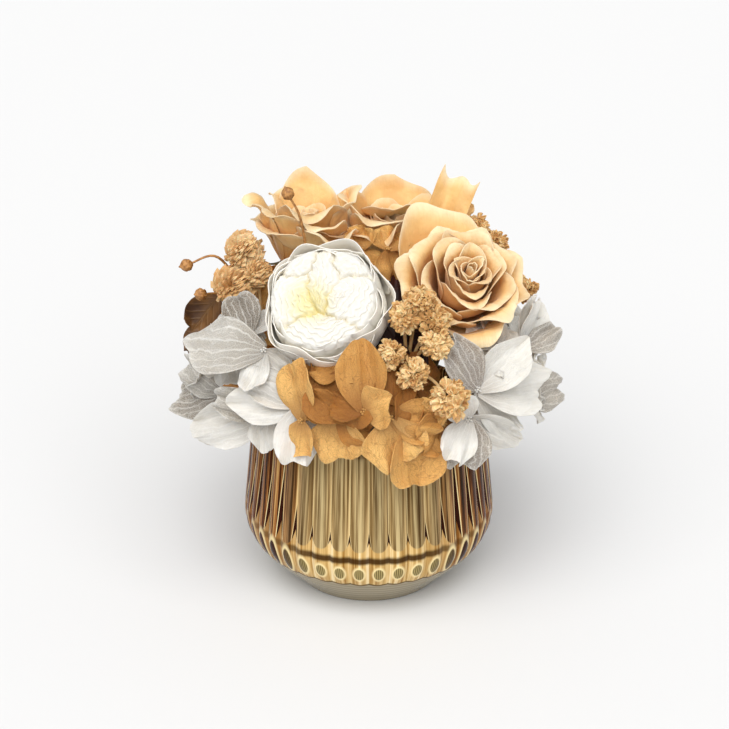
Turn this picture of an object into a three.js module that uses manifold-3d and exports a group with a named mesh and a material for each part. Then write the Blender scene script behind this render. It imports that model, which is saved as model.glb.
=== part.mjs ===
// A preserved-flower table centerpiece: four rose heads, bunches of hydrangea, dried pompon heads,
// flax pods and leaves, all standing in dry floral foam inside a low ribbed glass vase.
// Millimetres, +Z up. The origin is the centre of the vase's flat foot, and -Y is the front.
import * as THREE from "three";
import { mergeVertices } from "three/addons/utils/BufferGeometryUtils.js";
import { ConvexGeometry } from "three/addons/geometries/ConvexGeometry.js";
import Module from "manifold-3d";

const wasm = await Module();
wasm.setup();

// ---------------------------------------------------------------- driving dimensions

const VASE_HEIGHT = 72;
const FOOT_RADIUS = 29;
const BELLY_RADIUS = 49;
const BELLY_HEIGHT = 26;
const MOUTH_RADIUS = 45;
const WALL = 3.7;
const FLOOR_THICKNESS = 6.5;
const RIBS = 40;
const RIB_DEPTH = 1.1;
const RIB_START = 16.5; // height where the ribs run out into the smooth foot

const GAP = 0.35; // between pieces that touch
const FOAM_TOP = 69;
const FOAM_RADIUS = 40.6;
const STEM_DEPTH = 18; // how far a stem goes into the foam
const HUB_HEIGHT = 82; // where the stalks of a hydrangea bunch meet

const PETAL = 0.7; // thickness of every petal and leaf
const STEM_RADIUS = 1.3;
const STALK_RADIUS = 0.75;
const KNOT_RADIUS = 3.6; // where the stalks of a hydrangea bunch join its stem

const COLOURS = {
  glass: 0xb98a3c,
  foam: 0x8a7f66,
  beige: 0xe8bf85,
  white: 0xf6f3ea,
  ivory: 0xdedad0,
  caramel: 0xc8924e,
  tan: 0xc99a63,
  brown: 0x6b4420,
  stem: 0x5d4a2a,
};

// ---------------------------------------------------------------- small helpers

const radians = THREE.MathUtils.degToRad;
const at = (x, y, z) => new THREE.Vector3(x, y, z);

// A repeatable number from 0 to 1 for each whole number.
const scatter = (n) => {
  const wave = Math.sin(n * 127.1 + 311.7) * 43758.5453;
  return wave - Math.floor(wave);
};

// A closed geometry as a solid.
function solid(geometry) {
  const bare = geometry.index ? geometry.toNonIndexed() : geometry.clone();
  bare.deleteAttribute("normal");
  bare.deleteAttribute("uv");
  const merged = mergeVertices(bare, 1e-3);
  return new wasm.Manifold(
    new wasm.Mesh({
      numProp: 3,
      vertProperties: merged.attributes.position.array,
      triVerts: new Uint32Array(merged.index.array),
    }),
  );
}

// A solid as a geometry.
function geometryOf(body) {
  const mesh = body.getMesh();
  const points = new Float32Array(mesh.numVert * 3);
  for (let i = 0; i < mesh.numVert; i++) {
    const start = i * mesh.numProp;
    points.set(mesh.vertProperties.subarray(start, start + 3), i * 3);
  }
  const geometry = new THREE.BufferGeometry();
  geometry.setAttribute("position", new THREE.BufferAttribute(points, 3));
  geometry.setIndex(new THREE.BufferAttribute(mesh.triVerts, 1));
  geometry.computeVertexNormals();
  return geometry;
}

// One solid from many, with any hollow that the joining seals filled in.
function fuse(bodies) {
  const pieces = wasm.Manifold.union(bodies).decompose();
  return wasm.Manifold.union(pieces.filter((piece) => piece.volume() > 0));
}

// The biggest piece of a body, without the loose scraps that a cut leaves.
function largest(body) {
  const pieces = body.decompose();
  return pieces.reduce((best, piece) => (piece.volume() > best.volume() ? piece : best));
}

// The direction that a flower faces: azimuth 0 is the front (-Y), 90 the right (+X).
function facing(azimuth, elevation) {
  const a = radians(azimuth);
  const e = radians(elevation);
  return at(Math.sin(a) * Math.cos(e), -Math.cos(a) * Math.cos(e), Math.sin(e));
}

// A frame whose z faces out of the flower, with x to the viewer's right and y upwards.
function flowerFrame(origin, azimuth, elevation) {
  const z = facing(azimuth, elevation);
  const x = at(Math.cos(radians(azimuth)), Math.sin(radians(azimuth)), 0);
  const y = z.clone().cross(x);
  return new THREE.Matrix4().makeBasis(x, y, z).setPosition(origin);
}

// A round bar along a curve.
function bar(curve, radius, sides, steps) {
  const outline = new THREE.Shape();
  for (let i = 0; i < sides; i++) {
    const a = (2 * Math.PI * i) / sides;
    const move = i ? "lineTo" : "moveTo";
    outline[move](radius * Math.cos(a), radius * Math.sin(a));
  }
  return solid(new THREE.ExtrudeGeometry(outline, { steps, extrudePath: curve, bevelEnabled: false }));
}

// A body turned round the z axis from pairs of height and radius.
function turned(profile, sides) {
  const lathe = new THREE.LatheGeometry(profile.map(([z, r]) => new THREE.Vector2(r, z)), sides);
  return solid(lathe.rotateX(Math.PI / 2));
}

// A thin closed sheet on a triangulated surface; rim is the loop of points round its edge.
function sheet(points, faces, rim, thickness) {
  const normals = points.map(() => at(0, 0, 0));
  for (const face of faces) {
    const [a, b, c] = face.map((k) => points[k]);
    const normal = b.clone().sub(a).cross(c.clone().sub(a));
    face.forEach((k) => normals[k].add(normal));
  }
  normals.forEach((normal) => normal.normalize());
  const lift = (side) => points.map((p, k) => p.clone().addScaledVector(normals[k], (side * thickness) / 2));
  const under = points.length;
  const index = [];
  for (const [a, b, c] of faces) {
    index.push(a, b, c);
    index.push(a + under, c + under, b + under);
  }
  rim.forEach((a, k) => {
    const b = rim[(k + 1) % rim.length];
    index.push(b, a, a + under);
    index.push(b, a + under, b + under);
  });
  const geometry = new THREE.BufferGeometry().setFromPoints([...lift(1), ...lift(-1)]);
  geometry.setIndex(index);
  return solid(geometry);
}

// A blade on a surface of u (-1 to 1 across) and v (0 to 1 along).
function blade(surface, across, along, thickness) {
  const columns = across + 1;
  const points = [];
  for (let j = 0; j <= along; j++)
    for (let i = 0; i <= across; i++) points.push(surface((2 * i) / across - 1, j / along));
  const faces = [];
  for (let j = 0; j < along; j++)
    for (let i = 0; i < across; i++) {
      const a = j * columns + i;
      faces.push([a, a + 1, a + columns + 1]);
      faces.push([a, a + columns + 1, a + columns]);
    }
  const rim = [];
  for (let i = 0; i < across; i++) rim.push(i);
  for (let j = 0; j < along; j++) rim.push(j * columns + across);
  for (let i = across; i > 0; i--) rim.push(along * columns + i);
  for (let j = along; j > 0; j--) rim.push(j * columns);
  return sheet(points, faces, rim, thickness);
}

// The surface of a rose petal in its flower's frame. It leaves the flower's axis at a radius root
// and a height rise. lean is its angle from the axis at mid length, cup turns the root outwards
// and curl turns the tip outwards. The petal curls round a radius hug; flare bends its side edges
// back, ramp tucks one side under the next petal, and wave ruffles the tip.
function petalSurface(petal) {
  const { angle, root, rise = 0, length, width, lean, cup = 0, curl = 0, hug } = petal;
  const { flare = 0, ramp = 0, wave = 0, waves = 2, phase = 0 } = petal;
  const { round = 0.35, neck = 0.35, point = 0, shift = [0, 0] } = petal;
  const turn = radians(angle);
  const radial = at(Math.cos(turn), Math.sin(turn), 0);
  const across = at(-Math.sin(turn), Math.cos(turn), 0);
  const slope = (t) => radians(lean + cup * (1 - t) ** 2 + curl * t ** 4);
  const STEPS = 12;
  return (u, v) => {
    const tip = point * (1 - Math.abs(u)) ** 2 - Math.max(point, 0);
    const t = v * (1 - round * Math.abs(u) ** 2.6 + tip);
    let r = root;
    let z = rise;
    for (let k = 0; k < STEPS; k++) {
      const a = slope(((k + 0.5) * t) / STEPS);
      r += (Math.sin(a) * length * t) / STEPS;
      z += (Math.cos(a) * length * t) / STEPS;
    }
    const half = width * (neck + (1 - neck) * Math.sin((Math.PI / 2) * Math.min(1, t / 0.6)));
    const bend = (u * half) / hug;
    const a = slope(t);
    const bow = hug * (1 - Math.cos(bend)) - flare * Math.abs(u) ** 3 * t;
    const ruffle = wave * Math.sin(waves * Math.PI * u + phase) * t * t;
    const inwards = bow - ramp * u * t + ruffle;
    const reach = r - Math.cos(a) * inwards;
    const spread = radial.clone().multiplyScalar(reach);
    spread.addScaledVector(across, hug * Math.sin(bend));
    spread.z = z + Math.sin(a) * inwards;
    return spread.add(at(...shift, 0));
  };
}

// The surface of a petal that grows from root to tip and turns its inner side to face; grow widens
// and lengthens it.
function aimedSurface({ root, tip, face, width, ...shape }, grow = 0) {
  const along = tip.clone().sub(root).normalize();
  const back = along.clone().multiplyScalar(along.dot(face)).sub(face).normalize();
  const frame = new THREE.Matrix4().makeBasis(back, along.clone().cross(back), along);
  frame.setPosition(root.clone().addScaledVector(along, -grow));
  const length = tip.distanceTo(root) + 2 * grow;
  const surface = petalSurface({ angle: 0, root: 0, lean: 0, length, width: width + grow, ...shape });
  return (u, v) => surface(u, v).applyMatrix4(frame);
}

// ---------------------------------------------------------------- clearance between pieces

// What the pieces made so far take up, each grown by the gap; later pieces are cut back from it.
const taken = [];

function pointsOf(body) {
  const mesh = body.getMesh();
  const points = [];
  for (let i = 0; i < mesh.numVert; i++) {
    const k = i * mesh.numProp;
    points.push(at(mesh.vertProperties[k], mesh.vertProperties[k + 1], mesh.vertProperties[k + 2]));
  }
  return points;
}

// The convex body round another, grown by a margin.
function wrap(body, margin) {
  const points = pointsOf(body);
  const middle = points.reduce((sum, p) => sum.add(p), at(0, 0, 0)).divideScalar(points.length);
  for (const p of points) p.addScaledVector(p.clone().sub(middle).normalize(), margin);
  return solid(new ConvexGeometry(points));
}

// A body less everything made so far, as one piece.
function cleared(body) {
  const near = taken.filter((space) => !space.intersect(body).isEmpty());
  return near.length ? largest(fuse([body.subtract(wasm.Manifold.union(near))])) : body;
}

// ---------------------------------------------------------------- the part

const part = new THREE.Group();
part.name = "floral_centerpiece";

function add(name, body, colour, roughness = 0.85) {
  const material = new THREE.MeshStandardMaterial({ color: colour, roughness, metalness: 0 });
  const mesh = new THREE.Mesh(geometryOf(body), material);
  mesh.name = name;
  part.add(mesh);
}

// ---------------------------------------------------------------- the vase

const OUTER = [
  [0, FOOT_RADIUS],
  [RIB_START, 44.7],
  [20, 47],
  [BELLY_HEIGHT, BELLY_RADIUS],
  [VASE_HEIGHT - 2, MOUTH_RADIUS],
  [VASE_HEIGHT, MOUTH_RADIUS - 0.9],
];
const INNER = [
  [FLOOR_THICKNESS, 0],
  [FLOOR_THICKNESS, 26],
  [14, 37.2],
  [BELLY_HEIGHT, BELLY_RADIUS - WALL],
  [VASE_HEIGHT + 1, MOUTH_RADIUS - WALL],
  [VASE_HEIGHT + 1, 0],
];

// The ribs are rounds: of every three columns of points, one lies down in the valley.
function ribbedBody() {
  const profile = [[0, 0], ...OUTER, [VASE_HEIGHT, 0]].map(([z, r]) => new THREE.Vector2(r, z));
  const lathe = new THREE.LatheGeometry(profile, RIBS * 3).toNonIndexed();
  const position = lathe.getAttribute("position");
  for (let i = 0; i < position.count; i++) {
    const p = at(position.getX(i), position.getY(i), position.getZ(i));
    const radius = Math.hypot(p.x, p.z);
    const turn = Math.atan2(p.x, p.z) / (2 * Math.PI);
    const column = Math.round((turn + 1) * RIBS * 3) % 3;
    const ribbed = p.y > RIB_START + 1 && p.y < VASE_HEIGHT - 1 && column === 0;
    const shrink = ribbed ? (radius - RIB_DEPTH) / radius : 1;
    position.setXYZ(i, p.x * shrink, -p.z * shrink, p.y);
  }
  return solid(lathe);
}

const vase = ribbedBody().subtract(turned(INNER, 32));
add("vase", vase, COLOURS.glass, 0.1);
taken.push(vase);

// ---------------------------------------------------------------- stems and their holes in the foam

const holes = [];

// A stem from a flower, leaving it along a direction and bending down into its hole in the foam.
function stem(from, away, hole, radius = STEM_RADIUS, sides = 5, reach = 10) {
  const bottom = FOAM_TOP - STEM_DEPTH;
  const top = [from, from.clone().addScaledVector(away, reach)];
  const down = [FOAM_TOP + 8, FOAM_TOP, bottom].map((z) => at(...hole, z));
  const curve = new THREE.CatmullRomCurve3([...top, ...down]);
  const shaft = new THREE.LineCurve3(at(...hole, FOAM_TOP + 1), at(...hole, bottom - GAP));
  holes.push(bar(shaft, radius + GAP + 0.5, 5, 1));
  return { body: bar(curve, radius, sides, 6), space: bar(curve, radius + GAP, sides, 6) };
}

// ---------------------------------------------------------------- rose heads

// Whorls of a garden rose, from the outside in; start is where a petal comes out of the core.
const OPEN_WHORLS = [
  { count: 4, root: 5, length: 28, width: 18, lean: 14, cup: 62, curl: 70, hug: 18, shift: [-2.4, -2.8] },
  { count: 4, root: 4.6, start: 0.3, length: 28, width: 17, lean: 7, cup: 58, curl: 56, hug: 15, turn: 45 },
  { count: 3, root: 4, start: 0.3, length: 28, width: 16, lean: 3, cup: 54, curl: 44, hug: 12.8, turn: 80 },
  { count: 3, root: 3, start: 0.45, length: 28, width: 13, lean: 0, cup: 45, curl: 26, hug: 9 },
  { count: 1, root: 1.5, start: 0.6, length: 29, width: 12, lean: -1, cup: 20, hug: 4, neck: 0.9 },
];
const OPEN_CORE = [
  [0, 0],
  [0, 10],
  [4, 16],
  [14, 19],
  [22, 8],
  [23, 0],
];

// The back roses are blown open: a sunken heart in a ring of broad petals, each set by its root, its
// tip, the way its inner side faces and half its width.
const BLOWN_WHORLS = [
  { count: 3, root: 4, start: 0.6, length: 22, width: 11, lean: 0, cup: 56, curl: 30, hug: 9, turn: 10 },
  { count: 1, root: 1.5, start: 0.6, length: 20, width: 9, lean: -1, cup: 20, hug: 3.4, neck: 0.9 },
];
const BLOWN_CORE = [
  [0, 0],
  [0, 10],
  [5, 15],
  [15, 8],
  [15, 0],
];
const aimed = (root, tip, face, width, shape) => ({
  root: at(...root),
  tip: at(...tip),
  face: at(...face),
  width,
  ...shape,
});
const LEFT_PETALS = [
  aimed([-23, 25, 129], [-24, 37, 154], [0, -1, 0.5], 16, { hug: 15, point: 0.16, round: 0.5, neck: 0.7 }),
  aimed([-21, 15, 128], [-21.5, 4, 152], [0, 1, 0.2], 16, { hug: 15, curl: 50, flare: 2.5, neck: 0.6 }),
  aimed([-17, 11, 125], [-15, -6, 145], [0, 1, 0.2], 14, { hug: 16, curl: 40, wave: 1.6, neck: 0.6 }),
  aimed([-30, 9, 127], [-35, 3, 152], [0.5, 0.8, 0], 11, { hug: 13, curl: 40, flare: 3, neck: 0.5 }),
  aimed([-34, 14, 127], [-42, 12, 152], [1, 0.2, 0], 9, { hug: 10, curl: 50, wave: 1, neck: 0.5 }),
  aimed([-14, 19, 128], [-7, 19, 152], [-1, 0, 0.3], 12, { hug: 13, curl: 40, neck: 0.6 }),
  aimed([-27, 24, 129], [-34, 30, 148], [1, -0.8, 0.2], 13, { hug: 13, curl: 30, neck: 0.6 }),
];
const RIGHT_PETALS = [
  aimed([10, 29, 129], [10, 41, 149], [0, -1, 0.7], 17, { hug: 17, point: 0.1, round: 0.3, neck: 0.6 }),
  aimed([7, 15, 127], [6.5, 5, 148.5], [0, 1, 0.3], 17, { hug: 16, curl: 50, flare: 2.5, neck: 0.6 }),
  aimed([6, 13, 124], [2, -1, 143], [0, 1, 0.2], 14, { hug: 16, curl: 40, wave: 1.4, neck: 0.6 }),
  aimed([25, 14, 130], [33.8, 19, 155.5], [-0.3, -1, 0.3], 8, { hug: 12, round: -0.06, neck: 0.8 }),
  aimed([-2, 20, 128], [-8, 20, 151], [1, 0, 0.3], 12, { hug: 13, curl: 40, neck: 0.6 }),
  aimed([19, 22, 128], [24, 26, 146], [-1, -0.4, 0.3], 12, { hug: 13, curl: 40, neck: 0.6 }),
];

// Whorls of a quartered white rose: incurved cups round a flat face full of folded petals.
const CUPPED_WHORLS = [
  { count: 5, root: 8, length: 35, width: 18, lean: 0, cup: 85, curl: -22, hug: 20, ramp: 1.4 },
  { count: 5, root: 7, start: 0.2, length: 35, width: 15, lean: -2, cup: 76, curl: -20, hug: 17, wave: 0.8 },
  { count: 4, root: 4, start: 0.45, length: 34, width: 14, lean: -3, cup: 66, curl: -12, hug: 13, wave: 1 },
];
const CUPPED_CORE = [
  [0, 0],
  [0, 12],
  [4, 19],
  [14, 23.5],
  [24, 20],
  [27, 9],
  [27, 0],
];
const QUARTER_OFFSET = 8;

const SIDE_PETALS = [
  aimed([28, -5, 120], [25.3, 3, 150], [0.15, -0.85, 0.5], 18, { hug: 17, flare: 3, neck: 0.75 }),
];

const ROSES = [
  {
    name: "white_rose",
    base: at(-12.6, -20.4, 116.5),
    azimuth: -15,
    elevation: 45,
    hole: [-8, -8],
    scale: 1.04,
    whorls: CUPPED_WHORLS,
    core: CUPPED_CORE,
    quartered: true,
    seed: 3,
  },
  {
    name: "beige_rose_right",
    base: at(34.1, -5.2, 118),
    azimuth: 12,
    elevation: 50,
    hole: [21, -5],
    scale: 0.97,
    whorls: OPEN_WHORLS,
    core: OPEN_CORE,
    broad: SIDE_PETALS,
    seed: 11,
  },
  {
    name: "beige_rose_back_left",
    base: at(-23, 19, 125),
    azimuth: -8,
    elevation: 96,
    hole: [-15, 12],
    scale: 0.92,
    whorls: BLOWN_WHORLS,
    core: BLOWN_CORE,
    broad: LEFT_PETALS,
    seed: 29,
  },
  {
    name: "beige_rose_back_right",
    base: at(12, 22, 123),
    azimuth: 8,
    elevation: 96,
    hole: [11, 15],
    scale: 0.92,
    whorls: BLOWN_WHORLS,
    core: BLOWN_CORE,
    broad: RIGHT_PETALS,
    seed: 47,
  },
];

// A petal of a whorl drawn with few or more points by how much of it shows.
function petalGrid({ hug, start = 0 }) {
  if (hug < 5) return [6, 1];
  if (start >= 0.3) return [3, 1];
  return [3, 2];
}

function drawn(shape) {
  const { start = 0 } = shape;
  const surface = petalSurface(shape);
  return { petal: (u, v) => surface(u, start + (1 - start) * v), grid: petalGrid(shape) };
}

function whorlPetals(rose, whorls) {
  return whorls.flatMap(({ count, turn, ...shape }, layer) =>
    Array.from({ length: count }, (_, k) => {
      const seed = rose.seed + layer * 17 + k * 5;
      return drawn({
        ramp: 1,
        rise: 1.5,
        ...shape,
        angle: (360 * k) / count + (turn ?? layer * 47) + (scatter(seed) - 0.5) * 14,
        length: shape.length * (0.95 + 0.1 * scatter(seed + 1)),
        phase: 6 * scatter(seed + 2),
      });
    }),
  );
}

// The folded petals at the heart of the white rose, nested in four quarters.
function quarterPetals(rose) {
  return [0, 1, 2, 3].flatMap((quarter) => {
    const turn = radians(quarter * 90 + 35);
    const shift = at(Math.cos(turn) * QUARTER_OFFSET, Math.sin(turn) * QUARTER_OFFSET, 0);
    return [5.5, 2.6].map((hug, fold) => {
      const angle = quarter * 90 + 35 + 180 * (fold % 2) + 30 * scatter(rose.seed + quarter * 3 + fold);
      const shape = { angle, root: hug, rise: 20, length: 9 + fold, width: hug * 2.1, lean: -4, hug };
      const inner = petalSurface({ ...shape, neck: 0.9, curl: 20, round: 0.15 });
      return { petal: (u, v) => inner(u, v).add(shift), grid: [3, 1] };
    });
  });
}

function roseHead(rose) {
  const frame = flowerFrame(rose.base, rose.azimuth, rose.elevation);
  frame.scale(at(rose.scale, rose.scale, rose.scale));
  const petals = whorlPetals(rose, rose.whorls);
  if (rose.quartered) petals.push(...quarterPetals(rose));
  const blades = petals.map(({ petal, grid }) =>
    blade((u, v) => petal(u, v).applyMatrix4(frame), ...grid, PETAL),
  );
  const broadPetals = (rose.broad ?? []).map((petal) => blade(aimedSurface(petal), 2, 2, PETAL));
  const core = turned(rose.core, rose.quartered ? 8 : 6).transform([...frame.elements]);
  return fuse([core, ...blades, ...broadPetals]);
}

// The green cup under a rose head, with its five sepals and the wired stem.
const CALYX = [
  [-8, 0],
  [-8, 1.6],
  [-4, 4.2],
  [-GAP, 4.6],
  [-GAP, 0],
];

function roseStem(rose) {
  const frame = flowerFrame(rose.base, rose.azimuth, rose.elevation);
  const cup = turned(CALYX, 6).transform([...frame.elements]);
  const star = [at(0, 0, -2)];
  for (let k = 0; k < 10; k++) {
    const turn = radians(36 * k + rose.seed);
    const [reach, drop] = k % 2 ? [3.8, -2] : [12, -6];
    star.push(at(reach * Math.cos(turn), reach * Math.sin(turn), drop));
  }
  star.forEach((p) => p.applyMatrix4(frame));
  const rim = Array.from({ length: 10 }, (_, k) => k + 1);
  const sepals = sheet(star, rim.map((k) => [0, k, (k % 10) + 1]), rim, PETAL);
  const away = facing(rose.azimuth, rose.elevation).negate();
  const from = rose.base.clone().addScaledVector(away, 5);
  const { body, space } = stem(from, away, rose.hole);
  return { body: fuse([cup, body, sepals]), space: fuse([space, wrap(cup, GAP)]) };
}

for (const rose of ROSES) {
  const head = cleared(roseHead(rose));
  add(rose.name, head, rose.quartered ? COLOURS.white : COLOURS.beige);
  taken.push(wrap(head, GAP));
}
for (const rose of ROSES) {
  const { body, space } = roseStem(rose);
  add(rose.name + "_stem", body, COLOURS.stem);
  taken.push(space);
}

// ---------------------------------------------------------------- dried pompon heads

// Sprays of crumbly heads: each head is its centre and radius.
const POMPONS = [
  {
    name: "pompons_left",
    hole: [-34, 1],
    fork: at(-41, 0, 108),
    heads: [
      [-47, 2, 135, 6.6],
      [-51, -4, 123, 7.4],
      [-42, -3, 128, 5],
    ],
  },
  {
    name: "pompons_middle",
    hole: [11, -25],
    fork: at(14, -34, 104),
    heads: [
      [12, -42, 128, 5],
      [18, -38, 133, 5.2],
      [24, -42, 126, 5],
      [24.5, -46, 119, 5.2],
      [8, -50, 117, 4.8],
      [16, -54, 111, 5.4],
      [29.5, -56, 102, 6.4],
    ],
  },
  {
    name: "pompons_right",
    hole: [33, 4],
    fork: at(44, 14, 108),
    heads: [
      [41, 20, 137, 4.4],
      [48, 18, 132, 4.6],
      [59, 4, 118, 4.4],
    ],
  },
  {
    name: "pompons_back",
    hole: [-2, 27],
    fork: at(-3, 40, 104),
    heads: [
      [-8, 50, 127, 6],
      [3, 53, 121, 6.6],
      [-4, 56, 112, 5.4],
    ],
  },
];

// A crumbly head: the points of a ball pushed in and out by turns.
function pomponHead([x, y, z, radius], seed) {
  const Ball = radius > 5.5 ? THREE.IcosahedronGeometry : THREE.DodecahedronGeometry;
  const ball = new Ball(radius, radius > 5.5 ? 1 : 0);
  ball.deleteAttribute("normal");
  ball.deleteAttribute("uv");
  const merged = mergeVertices(ball, 1e-3);
  const position = merged.getAttribute("position");
  for (let i = 0; i < position.count; i++) {
    const swell = 0.72 + 0.42 * scatter(seed * 61 + i);
    const p = at(position.getX(i), position.getY(i), position.getZ(i)).multiplyScalar(swell);
    position.setXYZ(i, p.x + x, p.y + y, p.z + z);
  }
  return solid(merged);
}

for (const [n, spray] of POMPONS.entries()) {
  const { body, space } = stem(spray.fork, at(0, 0, -1), spray.hole, STEM_RADIUS, 5);
  const heads = spray.heads.map((head, k) => pomponHead(head, n * 9 + k));
  const branch = ([x, y, z]) =>
    new THREE.CatmullRomCurve3([
      spray.fork.clone().add(at(0, 0, -1.5)),
      spray.fork.clone().lerp(at(x, y, z), 0.5).add(at(0, 0, 2)),
      at(x, y, z),
    ]);
  const branches = (radius) => spray.heads.map((head) => bar(branch(head), radius, 3, 2));
  const whole = fuse([body, ...branches(STALK_RADIUS), ...heads]);
  add(spray.name, cleared(whole), COLOURS.tan);
  taken.push(fuse([space, ...branches(STALK_RADIUS + GAP), ...heads.map((head) => wrap(head, GAP))]));
}

// ---------------------------------------------------------------- flax pods

const FLAX = [
  {
    name: "flax_left",
    hole: [-35, 9],
    fork: at(-46, 10, 112),
    pods: [
      { tip: at(-69, 0, 130), arc: at(-60, 3, 134) },
      { tip: at(-64, 0, 118), arc: at(-57, 5, 116) },
    ],
  },
  {
    name: "flax_top",
    hole: [-21, -3],
    fork: at(-22, -3, 122),
    pods: [{ tip: at(-30, -8, 162.5), arc: at(-25, -7, 150) }],
  },
];
const POD = [
  [-2.5, 0],
  [-1.6, 1.6],
  [0.3, 2.35],
  [1.8, 1.3],
  [2.8, 0],
];

for (const spray of FLAX) {
  const { body, space } = stem(spray.fork, at(0, 0, -1), spray.hole, 0.9, 4);
  const twig = ({ tip, arc }) =>
    new THREE.CatmullRomCurve3([spray.fork.clone().add(at(0, 0, -1)), arc, tip]);
  const twigs = (radius) => spray.pods.map((pod) => bar(twig(pod), radius, 4, 6));
  const pods = spray.pods.map(({ tip, arc }) => {
    const along = tip.clone().sub(arc).normalize();
    const turn = new THREE.Quaternion().setFromUnitVectors(at(0, 0, 1), along);
    const place = new THREE.Matrix4().makeRotationFromQuaternion(turn).setPosition(tip);
    return turned(POD, 8).transform([...place.elements]);
  });
  add(spray.name, cleared(fuse([body, ...twigs(0.7), ...pods])), COLOURS.tan);
  taken.push(fuse([space, ...twigs(0.7 + GAP), ...pods.map((pod) => wrap(pod, GAP))]));
}

// ---------------------------------------------------------------- dried brown leaves

const LEAVES = [
  {
    name: "leaves_left",
    hole: [-36, -7],
    fork: at(-48, 0, 104),
    blades: [
      aimed([-57, 6, 115], [-68, 2, 101], [-0.4, -1, 0.5], 7.5),
      aimed([-62, 6, 103], [-70, 1, 93], [-0.3, -1, 0.3], 5),
    ],
  },
  {
    name: "leaves_middle",
    hole: [5, -20],
    fork: at(4, -27, 98),
    blades: [
      aimed([10, -32, 107], [22, -41, 104], [0.2, -1, 0.5], 8.5),
      aimed([8, -32, 108], [7, -40, 119], [0, -1, 0.2], 8),
      aimed([0, -31, 104], [-22, -43, 106], [0, -1, 0.6], 6.5),
    ],
  },
];

for (const spray of LEAVES) {
  const { body, space } = stem(spray.fork, at(0, 0, -1), spray.hole, 0.9, 4);
  const stalk = ({ root }) =>
    new THREE.CatmullRomCurve3([
      spray.fork.clone().add(at(0, 0, -1)),
      spray.fork.clone().lerp(root, 0.5).add(at(0, 0, 2)),
      root.clone().addScaledVector(root.clone().sub(spray.fork).normalize(), 2),
    ]);
  const leaf = (shape, grow) => {
    const surface = aimedSurface({ ...shape, hug: 9, neck: 0.15, round: 0.6, point: 0.1, wave: 1 }, grow);
    return blade(surface, 2, 2, PETAL + 2 * grow);
  };
  const whole = (grow) => {
    const stalks = spray.blades.map((shape) => bar(stalk(shape), STALK_RADIUS + grow, 3, 2));
    return [...stalks, ...spray.blades.map((shape) => leaf(shape, grow))];
  };
  add(spray.name, cleared(fuse([body, ...whole(0)])), COLOURS.brown);
  taken.push(fuse([space, ...whole(GAP)]));
}

// ---------------------------------------------------------------- hydrangea bunches

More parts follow.
